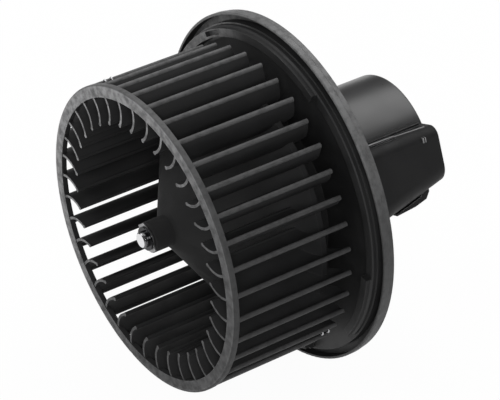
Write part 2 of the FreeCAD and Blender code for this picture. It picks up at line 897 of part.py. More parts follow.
def make_magnet_clips():
    """Two spring strips that press the magnets apart, above and below the armature."""
    body = new_body("magnet_clips")
    outer = yoke_bore_radius - s.standing_gap
    start = yoke_front + s.magnet_inset + s.magnet_clip_inset
    half_span = s.magnet_clip_angle / 2
    strip = across(body, "strip", start, start + s.magnet_clip_length, sector(
        outer - s.magnet_clip_thickness, outer, 90 - half_span, 90 + half_span))
    around(body, "strips", [strip], 2)
    return body


def slot_outline():
    """One armature slot: a narrow mouth at the core's rim over a wider wedge."""
    mouth = s.slot_mouth_width / 2
    shoulder = s.slot_shoulder_width / 2
    base = s.slot_root_width / 2
    return [
        (s.slot_root_radius, -base),
        (s.slot_shoulder_radius, -shoulder),
        (s.slot_shoulder_radius + s.slot_shoulder_rise, -mouth),
        (core_radius + s.overrun, -mouth),
        (core_radius + s.overrun, mouth),
        (s.slot_shoulder_radius + s.slot_shoulder_rise, mouth),
        (s.slot_shoulder_radius, shoulder),
        (s.slot_root_radius, base),
    ]


def make_slotted_disc(label, start, end):
    body = new_body(label)
    turned(body, "disc", ring(s.shaft_radius + s.bearing_play, core_radius, start, end))
    slot = across(body, "slot", start - s.overrun, end + s.overrun, slot_outline(), cut=True)
    around(body, "slots", [slot], s.core_slot_count)
    return body


def make_armature_winding():
    """Copper wire in the slots, with a bundle at each end of the core."""
    body = new_body("armature_winding")
    front = core_front - s.insulator_thickness - s.standing_gap
    back = core_back + s.insulator_thickness + s.standing_gap
    inner = s.winding_inner_radius
    outer = s.winding_bundle_radius
    depth = s.winding_bundle_depth
    turned(body, "front_bundle", [
        (inner, front),
        (inner, front - depth + s.winding_inner_chamfer),
        (inner + s.winding_inner_chamfer, front - depth),
        (outer - s.winding_outer_chamfer, front - depth),
        (outer, front - depth + s.winding_outer_chamfer),
        (outer, front),
    ])
    turned(body, "rear_bundle", [
        (inner, back),
        (outer, back),
        (outer, back + depth - s.winding_outer_chamfer),
        (s.commutator_riser_radius, commutator_front - s.standing_gap),
        (inner, commutator_front - s.standing_gap),
    ])
    slack = s.loose_gap
    base = s.slot_root_width / 2 - slack
    top = s.slot_shoulder_width / 2 - slack * 2
    coil = across(body, "coil_side", front - s.overrun, back + s.overrun, [
        (s.slot_root_radius + slack, -base),
        (outer - slack, -top),
        (outer - slack, top),
        (s.slot_root_radius + slack, base),
    ])
    around(body, "coil_sides", [coil], s.core_slot_count)
    return body


def make_commutator():
    """Copper bars on a moulded sleeve, with a riser at the winding's end."""
    body = new_body("commutator")
    front = commutator_front
    bore = s.shaft_radius + s.bearing_play
    turned(body, "barrel", [
        (bore, front),
        (s.commutator_riser_radius, front),
        (s.commutator_riser_radius, front + s.commutator_riser_depth),
        (s.commutator_radius, front + s.commutator_riser_depth),
        (s.commutator_radius, front + s.commutator_length),
        (bore, front + s.commutator_length),
    ])
    half = s.commutator_slot_width / 2
    slit = across(body, "slit", front - s.overrun, front + s.commutator_length + s.overrun, box(
        s.commutator_radius - s.commutator_slot_depth, s.commutator_riser_radius + s.overrun, -half,
        half), cut=True)
    around(body, "slits", [slit], s.core_slot_count)
    return body


def make_rear_end_cap():
    """The moulded cap that closes the yoke: it holds the rear bearing and the brush gear."""
    body = new_body("rear_end_cap")
    spigot_front = cap_front - s.cap_spigot
    spigot_radius = yoke_bore_radius - s.standing_gap
    pocket_outer = s.pocket_radius + s.pocket_wall
    mouth_radius = s.commutator_riser_radius + s.loose_gap
    mouth_back = spigot_front + s.cap_mouth_depth
    turned(body, "cap", [
        (s.pocket_radius, mouth_back),
        (mouth_radius, mouth_back),
        (mouth_radius, spigot_front),
        (spigot_radius, spigot_front),
        (spigot_radius, cap_front),
        (s.yoke_radius, cap_front),
        (s.yoke_radius, cap_back),
        (pocket_outer, cap_back),
        (pocket_outer, rear_pocket_back + s.cap_skin),
        (0, rear_pocket_back + s.cap_skin),
        (0, rear_pocket_back),
        (s.pocket_radius, rear_pocket_back),
    ])
    return body


def make_brush_tube(label, side):
    """The brass box that guides a brush: open towards the commutator, capped outside."""
    body = new_body(label)
    half_width = s.brush_width / 2 + s.standing_gap
    half_depth = s.brush_depth / 2 + s.standing_gap
    wall = s.tube_wall
    middle = brush_centre
    top = s.tube_start + s.tube_length
    start, end = side * s.tube_start, side * top
    inner_end = side * (top - s.tube_cap)
    across(body, "box", middle - half_depth - wall, middle + half_depth + wall,
           box(-half_width - wall, half_width + wall, *ordered(start, end)))
    open_end = side * (s.tube_start - s.overrun)
    across(body, "guide", middle - half_depth, middle + half_depth,
           box(-half_width, half_width, *ordered(open_end, inner_end)), cut=True)
    return body


def ordered(one, other):
    return (one, other) if one.value < other.value else (other, one)


def make_brush(label, side):
    """A carbon block that rests on the commutator."""
    body = new_body(label)
    near = s.commutator_radius + s.brush_lift
    low, high = ordered(side * near, side * (near + s.brush_length))
    middle = brush_centre
    across(body, "carbon", middle - s.brush_depth / 2, middle + s.brush_depth / 2,
           box(-s.brush_width / 2, s.brush_width / 2, low, high))
    return body


def make_brush_spring(label, side):
    """The coil spring between a brush and the closed end of its tube."""
    body = new_body(label)
    wire = s.brush_spring_wire
    near = s.commutator_radius + s.brush_lift + s.brush_length + s.standing_gap
    far = s.tube_start + s.tube_length - s.tube_cap - s.standing_gap
    section = new_sketch(body, "wire_sketch", "XZ_Plane", [circle(
        (s.brush_spring_radius, side * (near + wire)), wire)], -brush_centre)
    coil = body.newObject("PartDesign::AdditiveHelix", "coil")
    coil.Profile = section
    coil.ReferenceAxis = (section, ["V_Axis"])
    coil.Mode = "height-turns-angle"
    coil.setExpression("Height", (far - near - wire * 2).formula)
    coil.setExpression("Turns", s.brush_spring_turns.formula)
    coil.Reversed = side < 0
    return body


def make_choke(label, side):
    """A wound interference coil on the end cap, beside the commutator."""
    body = new_body(label)
    half = s.choke_length / 2
    end = s.choke_end_depth
    core = s.choke_radius
    rim = s.choke_end_radius
    middle = cap_front - s.cap_spigot - rim - s.standing_gap
    sketch = body.newObject("Sketcher::SketchObject", "coil_sketch")
    sketch.AttachmentSupport = [(origin_plane(body, "XZ_Plane"), "")]
    sketch.MapMode = "FlatFace"
    sketch.setExpression("AttachmentOffset.Base.z", (-middle).formula)
    centre = side * s.choke_offset
    draw(sketch, [
        (centre, -half),
        (centre + side * rim, -half),
        (centre + side * rim, end - half),
        (centre + side * core, end - half),
        (centre + side * core, half - end),
        (centre + side * rim, half - end),
        (centre + side * rim, half),
        (centre, half),
    ])
    line = sketch.addGeometry(Part.LineSegment(Vector(centre.value, -half.value, 0),
                                               Vector(centre.value, half.value, 0)), True)
    sketch.addConstraint(Sketcher.Constraint("Vertical", line))
    bind(sketch, centre, "DistanceX", -1, 1, line, 1)
    coil = body.newObject("PartDesign::Revolution", "coil")
    coil.Profile = sketch
    coil.ReferenceAxis = (sketch, ["Axis0"])
    coil.Angle = 360
    return body


def make_damper(label, start, depth, lip):
    """A rubber ring between the motor and what holds it."""
    body = new_body(label)
    inner = s.yoke_radius + s.standing_gap
    outer = cover_bore_radius - s.standing_gap
    turned(body, "rubber", [
        (inner, start),
        (outer, start),
        (outer, start + depth - lip),
        (outer - lip / 2, start + depth),
        (inner, start + depth),
    ])
    return body


def make_retaining_ring():
    """The ring in front of the rubber that keeps the motor in the flange."""
    body = new_body("retaining_ring")
    back = -s.socket_front_reach - s.standing_gap
    front = back - s.retainer_ring_depth
    turned(body, "ring", ring(s.yoke_radius + s.retainer_ring_gap / 2, s.retainer_ring_radius, front,
                              back))
    hole = screw_hole(body, "hole", s.retainer_screw_angle, front, back)
    around(body, "holes", [hole], s.screw_count)
    return body


def make_screws(label, seat, angle, way):
    """Alike screws on the screws' circle: heads with a drive recess, shanks pointing one way."""
    body = new_body(label)
    middle = s.screw_circle_radius
    top = seat - way * s.screw_head_height
    recess = seat - way * s.screw_head_height / 2
    sketch = new_sketch(body, "screw_sketch", "XY_Plane", [[
        (middle, recess),
        (middle + s.screw_drive_radius, recess),
        (middle + s.screw_drive_radius, top),
        (middle + s.screw_crown_radius, top),
        (middle + s.screw_head_radius, seat),
        (middle + s.screw_radius, seat),
        (middle + s.screw_radius, seat + way * s.screw_length),
        (middle, seat + way * s.screw_length),
    ]])
    line = sketch.addGeometry(Part.LineSegment(Vector(middle.value, top.value, 0),
                                               Vector(middle.value, seat.value, 0)), True)
    sketch.addConstraint(Sketcher.Constraint("Vertical", line))
    bind(sketch, middle, "DistanceX", -1, 1, line, 1)
    screw = body.newObject("PartDesign::Revolution", "screw")
    screw.Profile = sketch
    screw.ReferenceAxis = (sketch, ["Axis0"])
    screw.Angle = 360
    around(body, "screws", [screw], s.screw_count)
    turn_body(body, angle)
    return body


ring_face = -s.socket_front_reach - s.standing_gap * 2 - s.retainer_ring_depth
foot_face = cover_foot + s.cover_foot_depth + s.standing_gap
front_retainer_place = front_bearing_middle + s.bearing_width / 2 + s.standing_gap
rear_retainer_place = (rear_bearing_middle - s.bearing_width / 2 - s.standing_gap
                       - s.retainer_thickness)
rear_washer_place = commutator_front + s.commutator_length + s.standing_gap

NODES = [
    make_fan_wheel(),
    make_fan_clip(),
    make_shaft_circlip(),
    make_motor_shaft(),
    make_slotted_disc("armature_core", core_front, core_back),
    make_slotted_disc("front_insulator", core_front - s.insulator_thickness, core_front),
    make_slotted_disc("rear_insulator", core_back, core_back + s.insulator_thickness),
    make_armature_winding(),
    make_commutator(),
    make_thrust_washer("front_thrust_washer", front_retainer_place + s.retainer_thickness
                       + s.loose_gap),
    make_thrust_washer("rear_thrust_washer", rear_washer_place),
    make_mounting_flange(),
    make_motor_cover(),
    make_screws("cover_screws", foot_face, s.cover_screw_angle, -1),
    make_connector_housing(),
    make_terminal("positive_terminal", 1),
    make_terminal("negative_terminal", -1),
    make_motor_yoke(),
    make_magnet("right_magnet", as_size(0)),
    make_magnet("left_magnet", as_size(180)),
    make_magnet_clips(),
    make_bearing("front_bearing", front_bearing_middle),
    make_bearing("rear_bearing", rear_bearing_middle),
    make_felt_ring("front_felt_ring", front_bearing_middle),
    make_felt_ring("rear_felt_ring", rear_bearing_middle),
    make_bearing_retainer("front_bearing_retainer", front_retainer_place),
    make_bearing_retainer("rear_bearing_retainer", rear_retainer_place),
    make_rear_end_cap(),
    make_brush_tube("upper_brush_tube", 1),
    make_brush_tube("lower_brush_tube", -1),
    make_brush("upper_brush", 1),
    make_brush("lower_brush", -1),
    make_brush_spring("upper_brush_spring", 1),
    make_brush_spring("lower_brush_spring", -1),
    make_choke("right_choke", 1),
    make_choke("left_choke", -1),
    make_damper("front_damper", -s.socket_front_reach, s.damper_depth, s.damper_lip),
    make_damper("rear_damper", cap_front - s.rear_damper_inset, s.rear_damper_depth, s.damper_lip),
    make_retaining_ring(),
    make_screws("retaining_screws", ring_face, s.retainer_screw_angle, 1),
]

doc.recompute()

for item in doc.Objects:
    if "Invalid" in item.State or "Error" in item.State:
        raise RuntimeError(f"{item.Name} has failed: {item.State}")

for node in NODES:
    if node.Shape.isNull() or not node.Shape.isValid():
        raise RuntimeError(f"{node.Label} has no valid shape")

os.makedirs("parts", exist_ok=True)
for node in NODES:
    node.Shape.exportStep(f"parts/{node.Label}.step")
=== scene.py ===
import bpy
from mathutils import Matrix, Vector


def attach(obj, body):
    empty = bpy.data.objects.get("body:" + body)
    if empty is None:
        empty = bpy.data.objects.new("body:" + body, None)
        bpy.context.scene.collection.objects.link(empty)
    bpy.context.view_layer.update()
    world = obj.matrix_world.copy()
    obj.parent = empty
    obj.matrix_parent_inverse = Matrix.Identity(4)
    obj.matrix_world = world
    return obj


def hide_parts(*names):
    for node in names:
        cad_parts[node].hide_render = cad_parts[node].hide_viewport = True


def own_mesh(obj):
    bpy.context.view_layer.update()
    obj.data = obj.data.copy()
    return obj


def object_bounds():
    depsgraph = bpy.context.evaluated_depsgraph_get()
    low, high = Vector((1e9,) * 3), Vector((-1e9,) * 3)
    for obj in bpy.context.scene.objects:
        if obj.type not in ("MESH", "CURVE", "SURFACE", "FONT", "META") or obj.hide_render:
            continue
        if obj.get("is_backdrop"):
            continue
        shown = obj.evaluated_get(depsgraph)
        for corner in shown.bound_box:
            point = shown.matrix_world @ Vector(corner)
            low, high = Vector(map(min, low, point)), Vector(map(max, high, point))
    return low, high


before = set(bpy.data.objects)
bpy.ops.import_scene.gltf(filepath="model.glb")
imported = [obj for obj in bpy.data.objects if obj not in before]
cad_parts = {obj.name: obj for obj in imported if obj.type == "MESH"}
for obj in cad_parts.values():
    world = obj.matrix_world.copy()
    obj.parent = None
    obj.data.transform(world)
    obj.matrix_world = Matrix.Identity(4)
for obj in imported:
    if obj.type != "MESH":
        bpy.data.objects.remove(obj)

"""Looks of a car cabin blower motor: a black barrel fan wheel on a motor in a flanged cover."""

import logging
import math
from dataclasses import dataclass
from enum import Enum

import bmesh
import bpy
from mathutils import Vector

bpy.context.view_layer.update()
LOG = logging.getLogger("blower_motor")
BUMP_STRENGTH = 0.6
Colour = tuple[float, float, float]
Point = tuple[float, float, float]
Pair = tuple[float, float]


class Body(Enum):
    """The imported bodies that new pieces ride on."""

    STATOR = "stator"
    ROTOR = "rotor"


class Slot(Enum):
    """The names of the record's material slots."""

    HOUSING_PLASTIC = "housing_plastic"
    BRIGHT_STEEL = "bright_steel"


def opaque(value: object) -> object:
    """Gives a colour its alpha, as sockets want it, and leaves a number as it is."""
    return (*value, 1.0) if isinstance(value, tuple) else value


def put_in_scene(name: str, data: bpy.types.ID) -> bpy.types.Object:
    """Adds an object to the scene.

    Args:
        name: The object's name.
        data: Its mesh, lamp or camera.

    Returns:
        The new object.
    """
    made = bpy.data.objects.new(name, data)
    bpy.context.scene.collection.objects.link(made)
    return made


class NodeTree:
    """A thin helper that adds and joins shader nodes in one tree."""

    def __init__(self, tree: bpy.types.NodeTree) -> None:
        """Wraps a tree.

        Args:
            tree: The shader tree to add nodes to.
        """
        self.tree = tree

    def add(self, kind: str, **settings: object) -> bpy.types.Node:
        """Adds a node and sets its properties.

        Args:
            kind: The node's type, such as "ShaderNodeMath".
            **settings: Properties to set on the node.

        Returns:
            The new node.
        """
        node = self.tree.nodes.new(kind)
        for name, value in settings.items():
            setattr(node, name, value)
        return node

    def join(self, source: bpy.types.NodeSocket, target: bpy.types.NodeSocket) -> None:
        """Links an output to an input."""
        self.tree.links.new(source, target)

    def feed(self, socket: bpy.types.NodeSocket, value: object) -> None:
        """Links an output to a socket, or sets a plain number or colour on it.

        Args:
            socket: The input to feed.
            value: The output, number or colour for it.
        """
        if isinstance(value, bpy.types.NodeSocket):
            self.join(value, socket)
        else:
            socket.default_value = opaque(value)

    def coordinates(self, kind: str = "Object") -> bpy.types.NodeSocket:
        """Gives the piece's own coordinates, or those of another kind."""
        return self.add("ShaderNodeTexCoord").outputs[kind]

    def split(self, vector: bpy.types.NodeSocket) -> bpy.types.NodeOutputs:
        """Splits a vector.

        Args:
            vector: The output to split.

        Returns:
            Its X, Y and Z.
        """
        node = self.add("ShaderNodeSeparateXYZ")
        self.join(vector, node.inputs[0])
        return node.outputs

    def axis_distance(self, place: bpy.types.NodeOutputs) -> bpy.types.NodeSocket:
        """Gives a split place's distance from the motor's axis, which is Y."""
        squares = [self.maths("MULTIPLY", place[name], place[name]) for name in ("X", "Z")]
        return self.maths("SQRT", self.maths("ADD", *squares))

    def maths(self, operation: str, *values: object) -> bpy.types.NodeSocket:
        """Adds a Math node.

        Args:
            operation: The node's operation, such as "MULTIPLY".
            *values: Sockets or numbers for its inputs.

        Returns:
            The node's output.
        """
        node = self.add("ShaderNodeMath", operation=operation)
        for socket, value in zip(node.inputs, values):
            self.feed(socket, value)
        return node.outputs[0]

    def spread(self, value: object, low: object, high: object, to_low: object = 0.0,
               to_high: object = 1.0) -> bpy.types.NodeSocket:
        """Maps a range of values smoothly onto another.

        Args:
            value: The socket to map.
            low: Where the old range starts.
            high: Where the old range ends.
            to_low: Where the new range starts.
            to_high: Where the new range ends.

        Returns:
            The mapped value.
        """
        node = self.add("ShaderNodeMapRange", interpolation_type="SMOOTHSTEP")
        for name, item in (("Value", value), ("From Min", low), ("From Max", high),
                           ("To Min", to_low), ("To Max", to_high)):
            self.feed(node.inputs[name], item)
        return node.outputs["Result"]

    def noise(self, place: object, scale: object, detail: float = 3.0,
              roughness: float = 0.55) -> bpy.types.NodeSocket:
        """Adds a Noise Texture and gives its value.

        Args:
            place: The coordinates to read.
            scale: The pattern's scale.
            detail: How many finer layers it has.
            roughness: How strong the finer layers are.

        Returns:
            The noise value.
        """
        node = self.add("ShaderNodeTexNoise")
        self.feed(node.inputs["Vector"], place)
        self.feed(node.inputs["Scale"], scale)
        node.inputs["Detail"].default_value = detail
        node.inputs["Roughness"].default_value = roughness
        return node.outputs["Fac"]

    def blend(self, amount: object, first: object, second: object) -> bpy.types.NodeSocket:
        """Mixes two numbers.

        Args:
            amount: The second one's share.
            first: The first number.
            second: The second number.

        Returns:
            The mixed number.
        """
        node = self.add("ShaderNodeMix", data_type="FLOAT")
        for index, value in ((0, amount), (2, first), (3, second)):
            self.feed(node.inputs[index], value)
        return node.outputs[0]

    def mix(self, amount: object, first: object, second: object) -> bpy.types.NodeSocket:
        """Mixes two colours.

        Args:
            amount: The second one's share.
            first: The first colour.
            second: The second colour.

        Returns:
            The mixed colour.
        """
        node = self.add("ShaderNodeMix", data_type="RGBA")
        for index, value in ((0, amount), (6, first), (7, second)):
            self.feed(node.inputs[index], value)
        return node.outputs[2]


class EffectGroup:
    """A shader node group with named inputs and outputs, built once."""

    def __init__(self, name: str, inputs: dict[str, object], outputs: dict[str, str]) -> None:
        """Makes the group's interface.

        Args:
            name: The group's name.
            inputs: Each input's name and its default number or colour.
            outputs: Each output's name and its socket type.
        """
        self.group = bpy.data.node_groups.new(name, "ShaderNodeTree")
        for label, default in inputs.items():
            kind = "NodeSocketColor" if isinstance(default, tuple) else "NodeSocketFloat"
            socket = self.group.interface.new_socket(label, in_out="INPUT", socket_type=kind)
            socket.default_value = opaque(default)
        for label, kind in outputs.items():
            self.group.interface.new_socket(label, in_out="OUTPUT", socket_type=kind)
        self.nodes = NodeTree(self.group)
        self.given = self.nodes.add("NodeGroupInput").outputs
        self.result = self.nodes.add("NodeGroupOutput").inputs

    def place(self, nodes: NodeTree, values: dict[str, object]) -> bpy.types.NodeOutputs:
        """Places the group in a material with that material's own values.

        Args:
            nodes: The material's tree.
            values: Numbers, colours or sockets for the group's inputs.

        Returns:
            The placed group's outputs.
        """
        placed = nodes.add("ShaderNodeGroup", node_tree=self.group)
        for label, value in values.items():
            nodes.feed(placed.inputs[label], value)
        return placed.outputs


class Effects:
    """The effects that several finishes share.

    A span is the pair of values between which a mask fades in. Bands are in metres.
    """

    cloud_span: Pair = (0.35, 0.68)
    streak_span: Pair = (0.1, 0.9)
    fine_share: float = 0.3
    cloud_relief: float = 0.6
    sharp_span: Pair = (0.995, 0.86)
    chip_span: Pair = (0.35, 0.6)
    front_span: Pair = (0.9, 0.99)
    rim_patch_span: Pair = (0.3, 0.6)
    rim_patch_least: float = 0.55
    # Mottle of the painted highlight on the front faces.
    face_mottle_span: Pair = (0.3, 0.68)
    face_mottle_least: float = 0.3
    face_band: float = 0.001
    core_band: float = 0.012
    stain_span: Pair = (0.4, 0.7)
    mark_span: Pair = (0.2, 0.8)
    clean_share: float = 0.5

    def __init__(self) -> None:
        """Builds every shared group once."""
        self.moulded = self._moulded_skin()
        self.edges = self._edge_wear_and_highlight_mask()
        self.turned = self._turning_marks()
        self.painted_light = self._painted_highlight_and_shade_masks()

    def _moulded_skin(self) -> EffectGroup:
        """Cloudy colour, uneven shine and fine grain of moulded plastic.

        Returns:
            The group.
        """
        made = EffectGroup(
            "moulded_skin",
            {"Base Colour": (0.02, 0.02, 0.02), "Cloud Colour": (0.05, 0.05, 0.05),
             "Cloud Scale": 60.0, "Cloud Amount": 0.4, "Grain Scale": 1500.0,
             "Least Roughness": 0.35, "Most Roughness": 0.5},
            {"Color": "NodeSocketColor", "Roughness": "NodeSocketFloat",
             "Height": "NodeSocketFloat"})
        n = made.nodes
        place = n.coordinates()
        cloud = n.noise(place, made.given["Cloud Scale"], detail=5.0, roughness=0.6)
        fine = n.noise(place, made.given["Grain Scale"], detail=2.0, roughness=0.5)
        broad = n.spread(cloud, *self.cloud_span)
        n.join(n.mix(n.maths("MULTIPLY", broad, made.given["Cloud Amount"]),
                     made.given["Base Colour"], made.given["Cloud Colour"]), made.result["Color"])
        streak = n.maths("ADD", n.maths("MULTIPLY", broad, 1.0 - self.fine_share),
                         n.maths("MULTIPLY", fine, self.fine_share))
        n.join(n.spread(streak, *self.streak_span, made.given["Least Roughness"],
                        made.given["Most Roughness"]), made.result["Roughness"])
        n.join(n.maths("ADD", fine, n.maths("MULTIPLY", cloud, self.cloud_relief)),
               made.result["Height"])
        return made

    def _edge_wear_and_highlight_mask(self) -> EffectGroup:
        """Where a surface has a sharp edge, for edge wear and a painted edge highlight, and the
        normal that rounds it.

        Returns:
            The group.
        """
        made = EffectGroup("edge_wear_and_highlight_mask", {"Radius": 0.0004, "Patchiness": 0.3, "Patch Scale": 300.0},
                           {"Mask": "NodeSocketFloat", "Normal": "NodeSocketVector"})
        n = made.nodes
        rounded = n.add("ShaderNodeBevel", samples=4)
        n.join(made.given["Radius"], rounded.inputs["Radius"])
        geometry = n.add("ShaderNodeNewGeometry")
        between = n.add("ShaderNodeVectorMath", operation="DOT_PRODUCT")
        n.join(rounded.outputs[0], between.inputs[0])
        n.join(geometry.outputs["Normal"], between.inputs[1])
        edge = n.spread(between.outputs["Value"], *self.sharp_span)
        patches = n.spread(n.noise(n.coordinates(), made.given["Patch Scale"]), *self.chip_span)
        kept = n.maths("SUBTRACT", 1.0, n.maths("MULTIPLY", made.given["Patchiness"],
                                                n.maths("SUBTRACT", 1.0, patches)))
        n.join(n.maths("MULTIPLY", edge, kept), made.result["Mask"])
        n.join(rounded.outputs[0], made.result["Normal"])
        return made

    def _painted_highlight_and_shade_masks(self) -> EffectGroup:
        """Masks for painted light on a wheel or flange: a painted highlight on its outer rim and on
        its front faces, strongest towards one side, and painted shade in its core.

        Returns:
            The group.
        """
        made = EffectGroup(
            "painted_highlight_and_shade_masks",
            {"Rim Radius": 0.1, "Rim Band": 0.0006, "Face Radius": 0.05, "Patch Scale": 160.0,
             "Rim Angle": 1.57, "Rim Fade": -0.8, "Rim Share": 0.3, "Face Angle": 1.57,
             "Face Fade": -0.8, "Face Share": 0.3, "Core Radius": 0.04},
            {"Rim": "NodeSocketFloat", "Face": "NodeSocketFloat", "Core": "NodeSocketFloat"})
        n = made.nodes
        place = n.coordinates()
        split = n.split(place)
        radius = n.axis_distance(split)
        sides = {}
        for part in ("Rim", "Face"):
            angle = made.given[f"{part} Angle"]
            toward = n.maths("ADD",
                             n.maths("MULTIPLY", split["X"], n.maths("COSINE", angle)),
                             n.maths("MULTIPLY", split["Z"], n.maths("SINE", angle)))
            sides[part] = n.spread(n.maths("DIVIDE", toward, radius), made.given[f"{part} Fade"],
                                   1.0, made.given[f"{part} Share"], 1.0)
        patches = n.noise(place, made.given["Patch Scale"], detail=6.0, roughness=0.62)
        # Rim: a painted highlight outside Rim Radius, mottled by the patches.
        rim = n.spread(radius, made.given["Rim Radius"],
                       n.maths("ADD", made.given["Rim Radius"], made.given["Rim Band"]))
        rim_patches = n.maths("MULTIPLY", sides["Rim"], n.spread(patches, *self.rim_patch_span,
                                                                 self.rim_patch_least, 1.0))
        n.join(n.maths("MULTIPLY", rim, rim_patches), made.result["Rim"])
        # Face: a painted highlight on the front faces outside Face Radius, mottled by the patches.
        facing = n.split(n.coordinates("Normal"))
        front = n.spread(n.maths("MULTIPLY", facing["Y"], -1.0), *self.front_span)
        outside = n.spread(radius, made.given["Face Radius"],
                           n.maths("ADD", made.given["Face Radius"], self.face_band))
        face_mottle = n.maths("MULTIPLY", sides["Face"],
                         n.spread(patches, *self.face_mottle_span, self.face_mottle_least, 1.0))
        n.join(n.maths("MULTIPLY", n.maths("MULTIPLY", front, outside), face_mottle),
               made.result["Face"])
        # Core: painted shade, darker inside Core Radius.
        n.join(n.spread(radius, made.given["Core Radius"],
                        n.maths("ADD", made.given["Core Radius"], self.core_band), 1.0, 0.0),
               made.result["Core"])
        return made

    def _turning_marks(self) -> EffectGroup:
        """Fine rings round the motor's axis, as a lathe or a drawing die leaves.

        Returns:
            The group.
        """
        made = EffectGroup(
            "turning_marks",
            {"Base Colour": (0.5, 0.5, 0.5), "Dark Colour": (0.3, 0.3, 0.3), "Ring Scale": 900.0,
             "Stain Scale": 120.0, "Least Roughness": 0.2, "Most Roughness": 0.4},
            {"Color": "NodeSocketColor", "Roughness": "NodeSocketFloat",
             "Height": "NodeSocketFloat"})
        n = made.nodes
        place = n.coordinates()
        split = n.split(place)
        lines = n.add("ShaderNodeCombineXYZ")
        for name, value in (("X", n.axis_distance(split)), ("Y", split["Y"])):
            n.join(n.maths("MULTIPLY", value, made.given["Ring Scale"]), lines.inputs[name])
        marks = n.noise(lines.outputs[0], 1.0, detail=2.0)
        stain = n.spread(n.noise(place, made.given["Stain Scale"]), *self.stain_span)
        n.join(n.mix(stain, made.given["Base Colour"], made.given["Dark Colour"]),
               made.result["Color"])
        dulled = n.maths("MULTIPLY", marks, n.maths("ADD", stain, self.clean_share))
        n.join(n.spread(dulled, *self.mark_span, made.given["Least Roughness"],
                        made.given["Most Roughness"]), made.result["Roughness"])
        n.join(marks, made.result["Height"])
        return made


def new_material(name: str) -> tuple[bpy.types.Material, NodeTree, bpy.types.Node]:
    """Makes a material with a Principled shader.

    Args:
        name: The material's name.

    Returns:
        The material, its tree and its shader.
    """
    material = bpy.data.materials.new(name)
    material.use_nodes = True
    return material, NodeTree(material.node_tree), material.node_tree.nodes["Principled BSDF"]


def bump(nodes: NodeTree, height: bpy.types.NodeSocket, distance: float,
         normal: bpy.types.NodeSocket | None = None) -> bpy.types.NodeSocket:
    """Adds a Bump node.

    Args:
        nodes: The material's tree.
        height: The height to follow.
        distance: The relief in metres.
        normal: The normal to start from.

    Returns:
        The bumped normal.
    """
    node = nodes.add("ShaderNodeBump")
    node.inputs["Strength"].default_value = BUMP_STRENGTH
    node.inputs["Distance"].default_value = distance
    nodes.join(height, node.inputs["Height"])
    if normal is not None:
        nodes.join(normal, node.inputs["Normal"])
    return node.outputs["Normal"]


@dataclass(frozen=True)
class PlasticFinish:
    """A moulded plastic.

    A part with a rim_radius gets a painted highlight at its rim, and on its front face outside
    face_radius, and painted shade darkens its core inside core_radius. A side is the angle in
    degrees at which that painted highlight is strongest, the cosine at which it starts to come in,
    and its share on the far side.
    """

    name: str
    base: Colour
    cloud: Colour
    # worn: the edges' colour, partly edge wear and partly a painted highlight.
    worn: Colour
    cloud_scale: float = 60.0
    cloud_amount: float = 0.5
    grain_scale: float = 1400.0
    grain_height: float = 0.00006
    roughness: Pair = (0.36, 0.52)
    edge_radius: float = 0.0004
    # The share of that edge colour: edge wear and a painted edge highlight together.
    edge_wear_and_highlight: float = 0.6
    shine: float = 0.5
    # Painted light: the rim and face colours are painted highlights, polished a painted highlight
    # on the front face's edges, the core colour painted shade.
    rim_radius: float = 0.0
    rim_highlight_colour: Colour = (0.05, 0.05, 0.05)
    face_radius: float = 0.0
    face_highlight_colour: Colour = (0.1, 0.1, 0.1)
    face_edge_highlight: Colour = (0.45, 0.45, 0.45)
    patch_scale: float = 260.0
    highlight_zone_roughness: float = 0.42
    rim_side: tuple[float, float, float] = (90.0, -0.8, 0.3)
    face_side: tuple[float, float, float] = (90.0, -0.8, 0.3)
    core_radius: float = 0.0
    core_shade_colour: Colour = (0.004, 0.004, 0.004)
    core_shade_amount: float = 0.5

    def build(self, effects: Effects) -> bpy.types.Material:
        """Makes the material.

        Args:
            effects: The shared node groups.

        Returns:
            The material.
        """
        material, nodes, shader = new_material(self.name)
        skin = effects.moulded.place(nodes, {
            "Base Colour": self.base, "Cloud Colour": self.cloud, "Cloud Scale": self.cloud_scale,
            "Cloud Amount": self.cloud_amount, "Grain Scale": self.grain_scale,
            "Least Roughness": self.roughness[0], "Most Roughness": self.roughness[1]})
        edge = effects.edges.place(nodes, {"Radius": self.edge_radius})
        # The edges lighten towards the worn colour: edge wear with a painted edge highlight.
        edge_wear_and_highlight = nodes.maths("MULTIPLY", edge["Mask"], self.edge_wear_and_highlight)
        colour = nodes.mix(edge_wear_and_highlight, skin["Color"], self.worn)
        roughness = skin["Roughness"]
        if self.rim_radius:
            sizes = {"Rim Radius": self.rim_radius, "Face Radius": self.face_radius,
                     "Patch Scale": self.patch_scale, "Core Radius": self.core_radius}
            for part, (angle, fade, share) in (("Rim", self.rim_side), ("Face", self.face_side)):
                sizes |= {f"{part} Angle": math.radians(angle), f"{part} Fade": fade,
                          f"{part} Share": share}
            # Painted light: painted shade in the core, painted highlights on the rim, on the front
            # face and on that face's edges.
            painted_light_masks = effects.painted_light.place(nodes, sizes)
            colour = nodes.mix(nodes.maths("MULTIPLY", painted_light_masks["Core"], self.core_shade_amount), colour,
                               self.core_shade_colour)
            colour = nodes.mix(painted_light_masks["Rim"], colour, self.rim_highlight_colour)
            colour = nodes.mix(painted_light_masks["Face"], colour, self.face_highlight_colour)
            face_edge_highlight_mask = nodes.maths("MULTIPLY", edge["Mask"], painted_light_masks["Face"])
            colour = nodes.mix(face_edge_highlight_mask, colour, self.face_edge_highlight)
            smoothed = nodes.maths("MAXIMUM", painted_light_masks["Rim"], painted_light_masks["Face"])
            roughness = nodes.blend(smoothed, roughness, self.highlight_zone_roughness)
        nodes.join(colour, shader.inputs["Base Color"])
        nodes.join(roughness, shader.inputs["Roughness"])
        nodes.join(bump(nodes, skin["Height"], self.grain_height, edge["Normal"]),
                   shader.inputs["Normal"])
        shader.inputs["Specular IOR Level"].default_value = self.shine
        return material


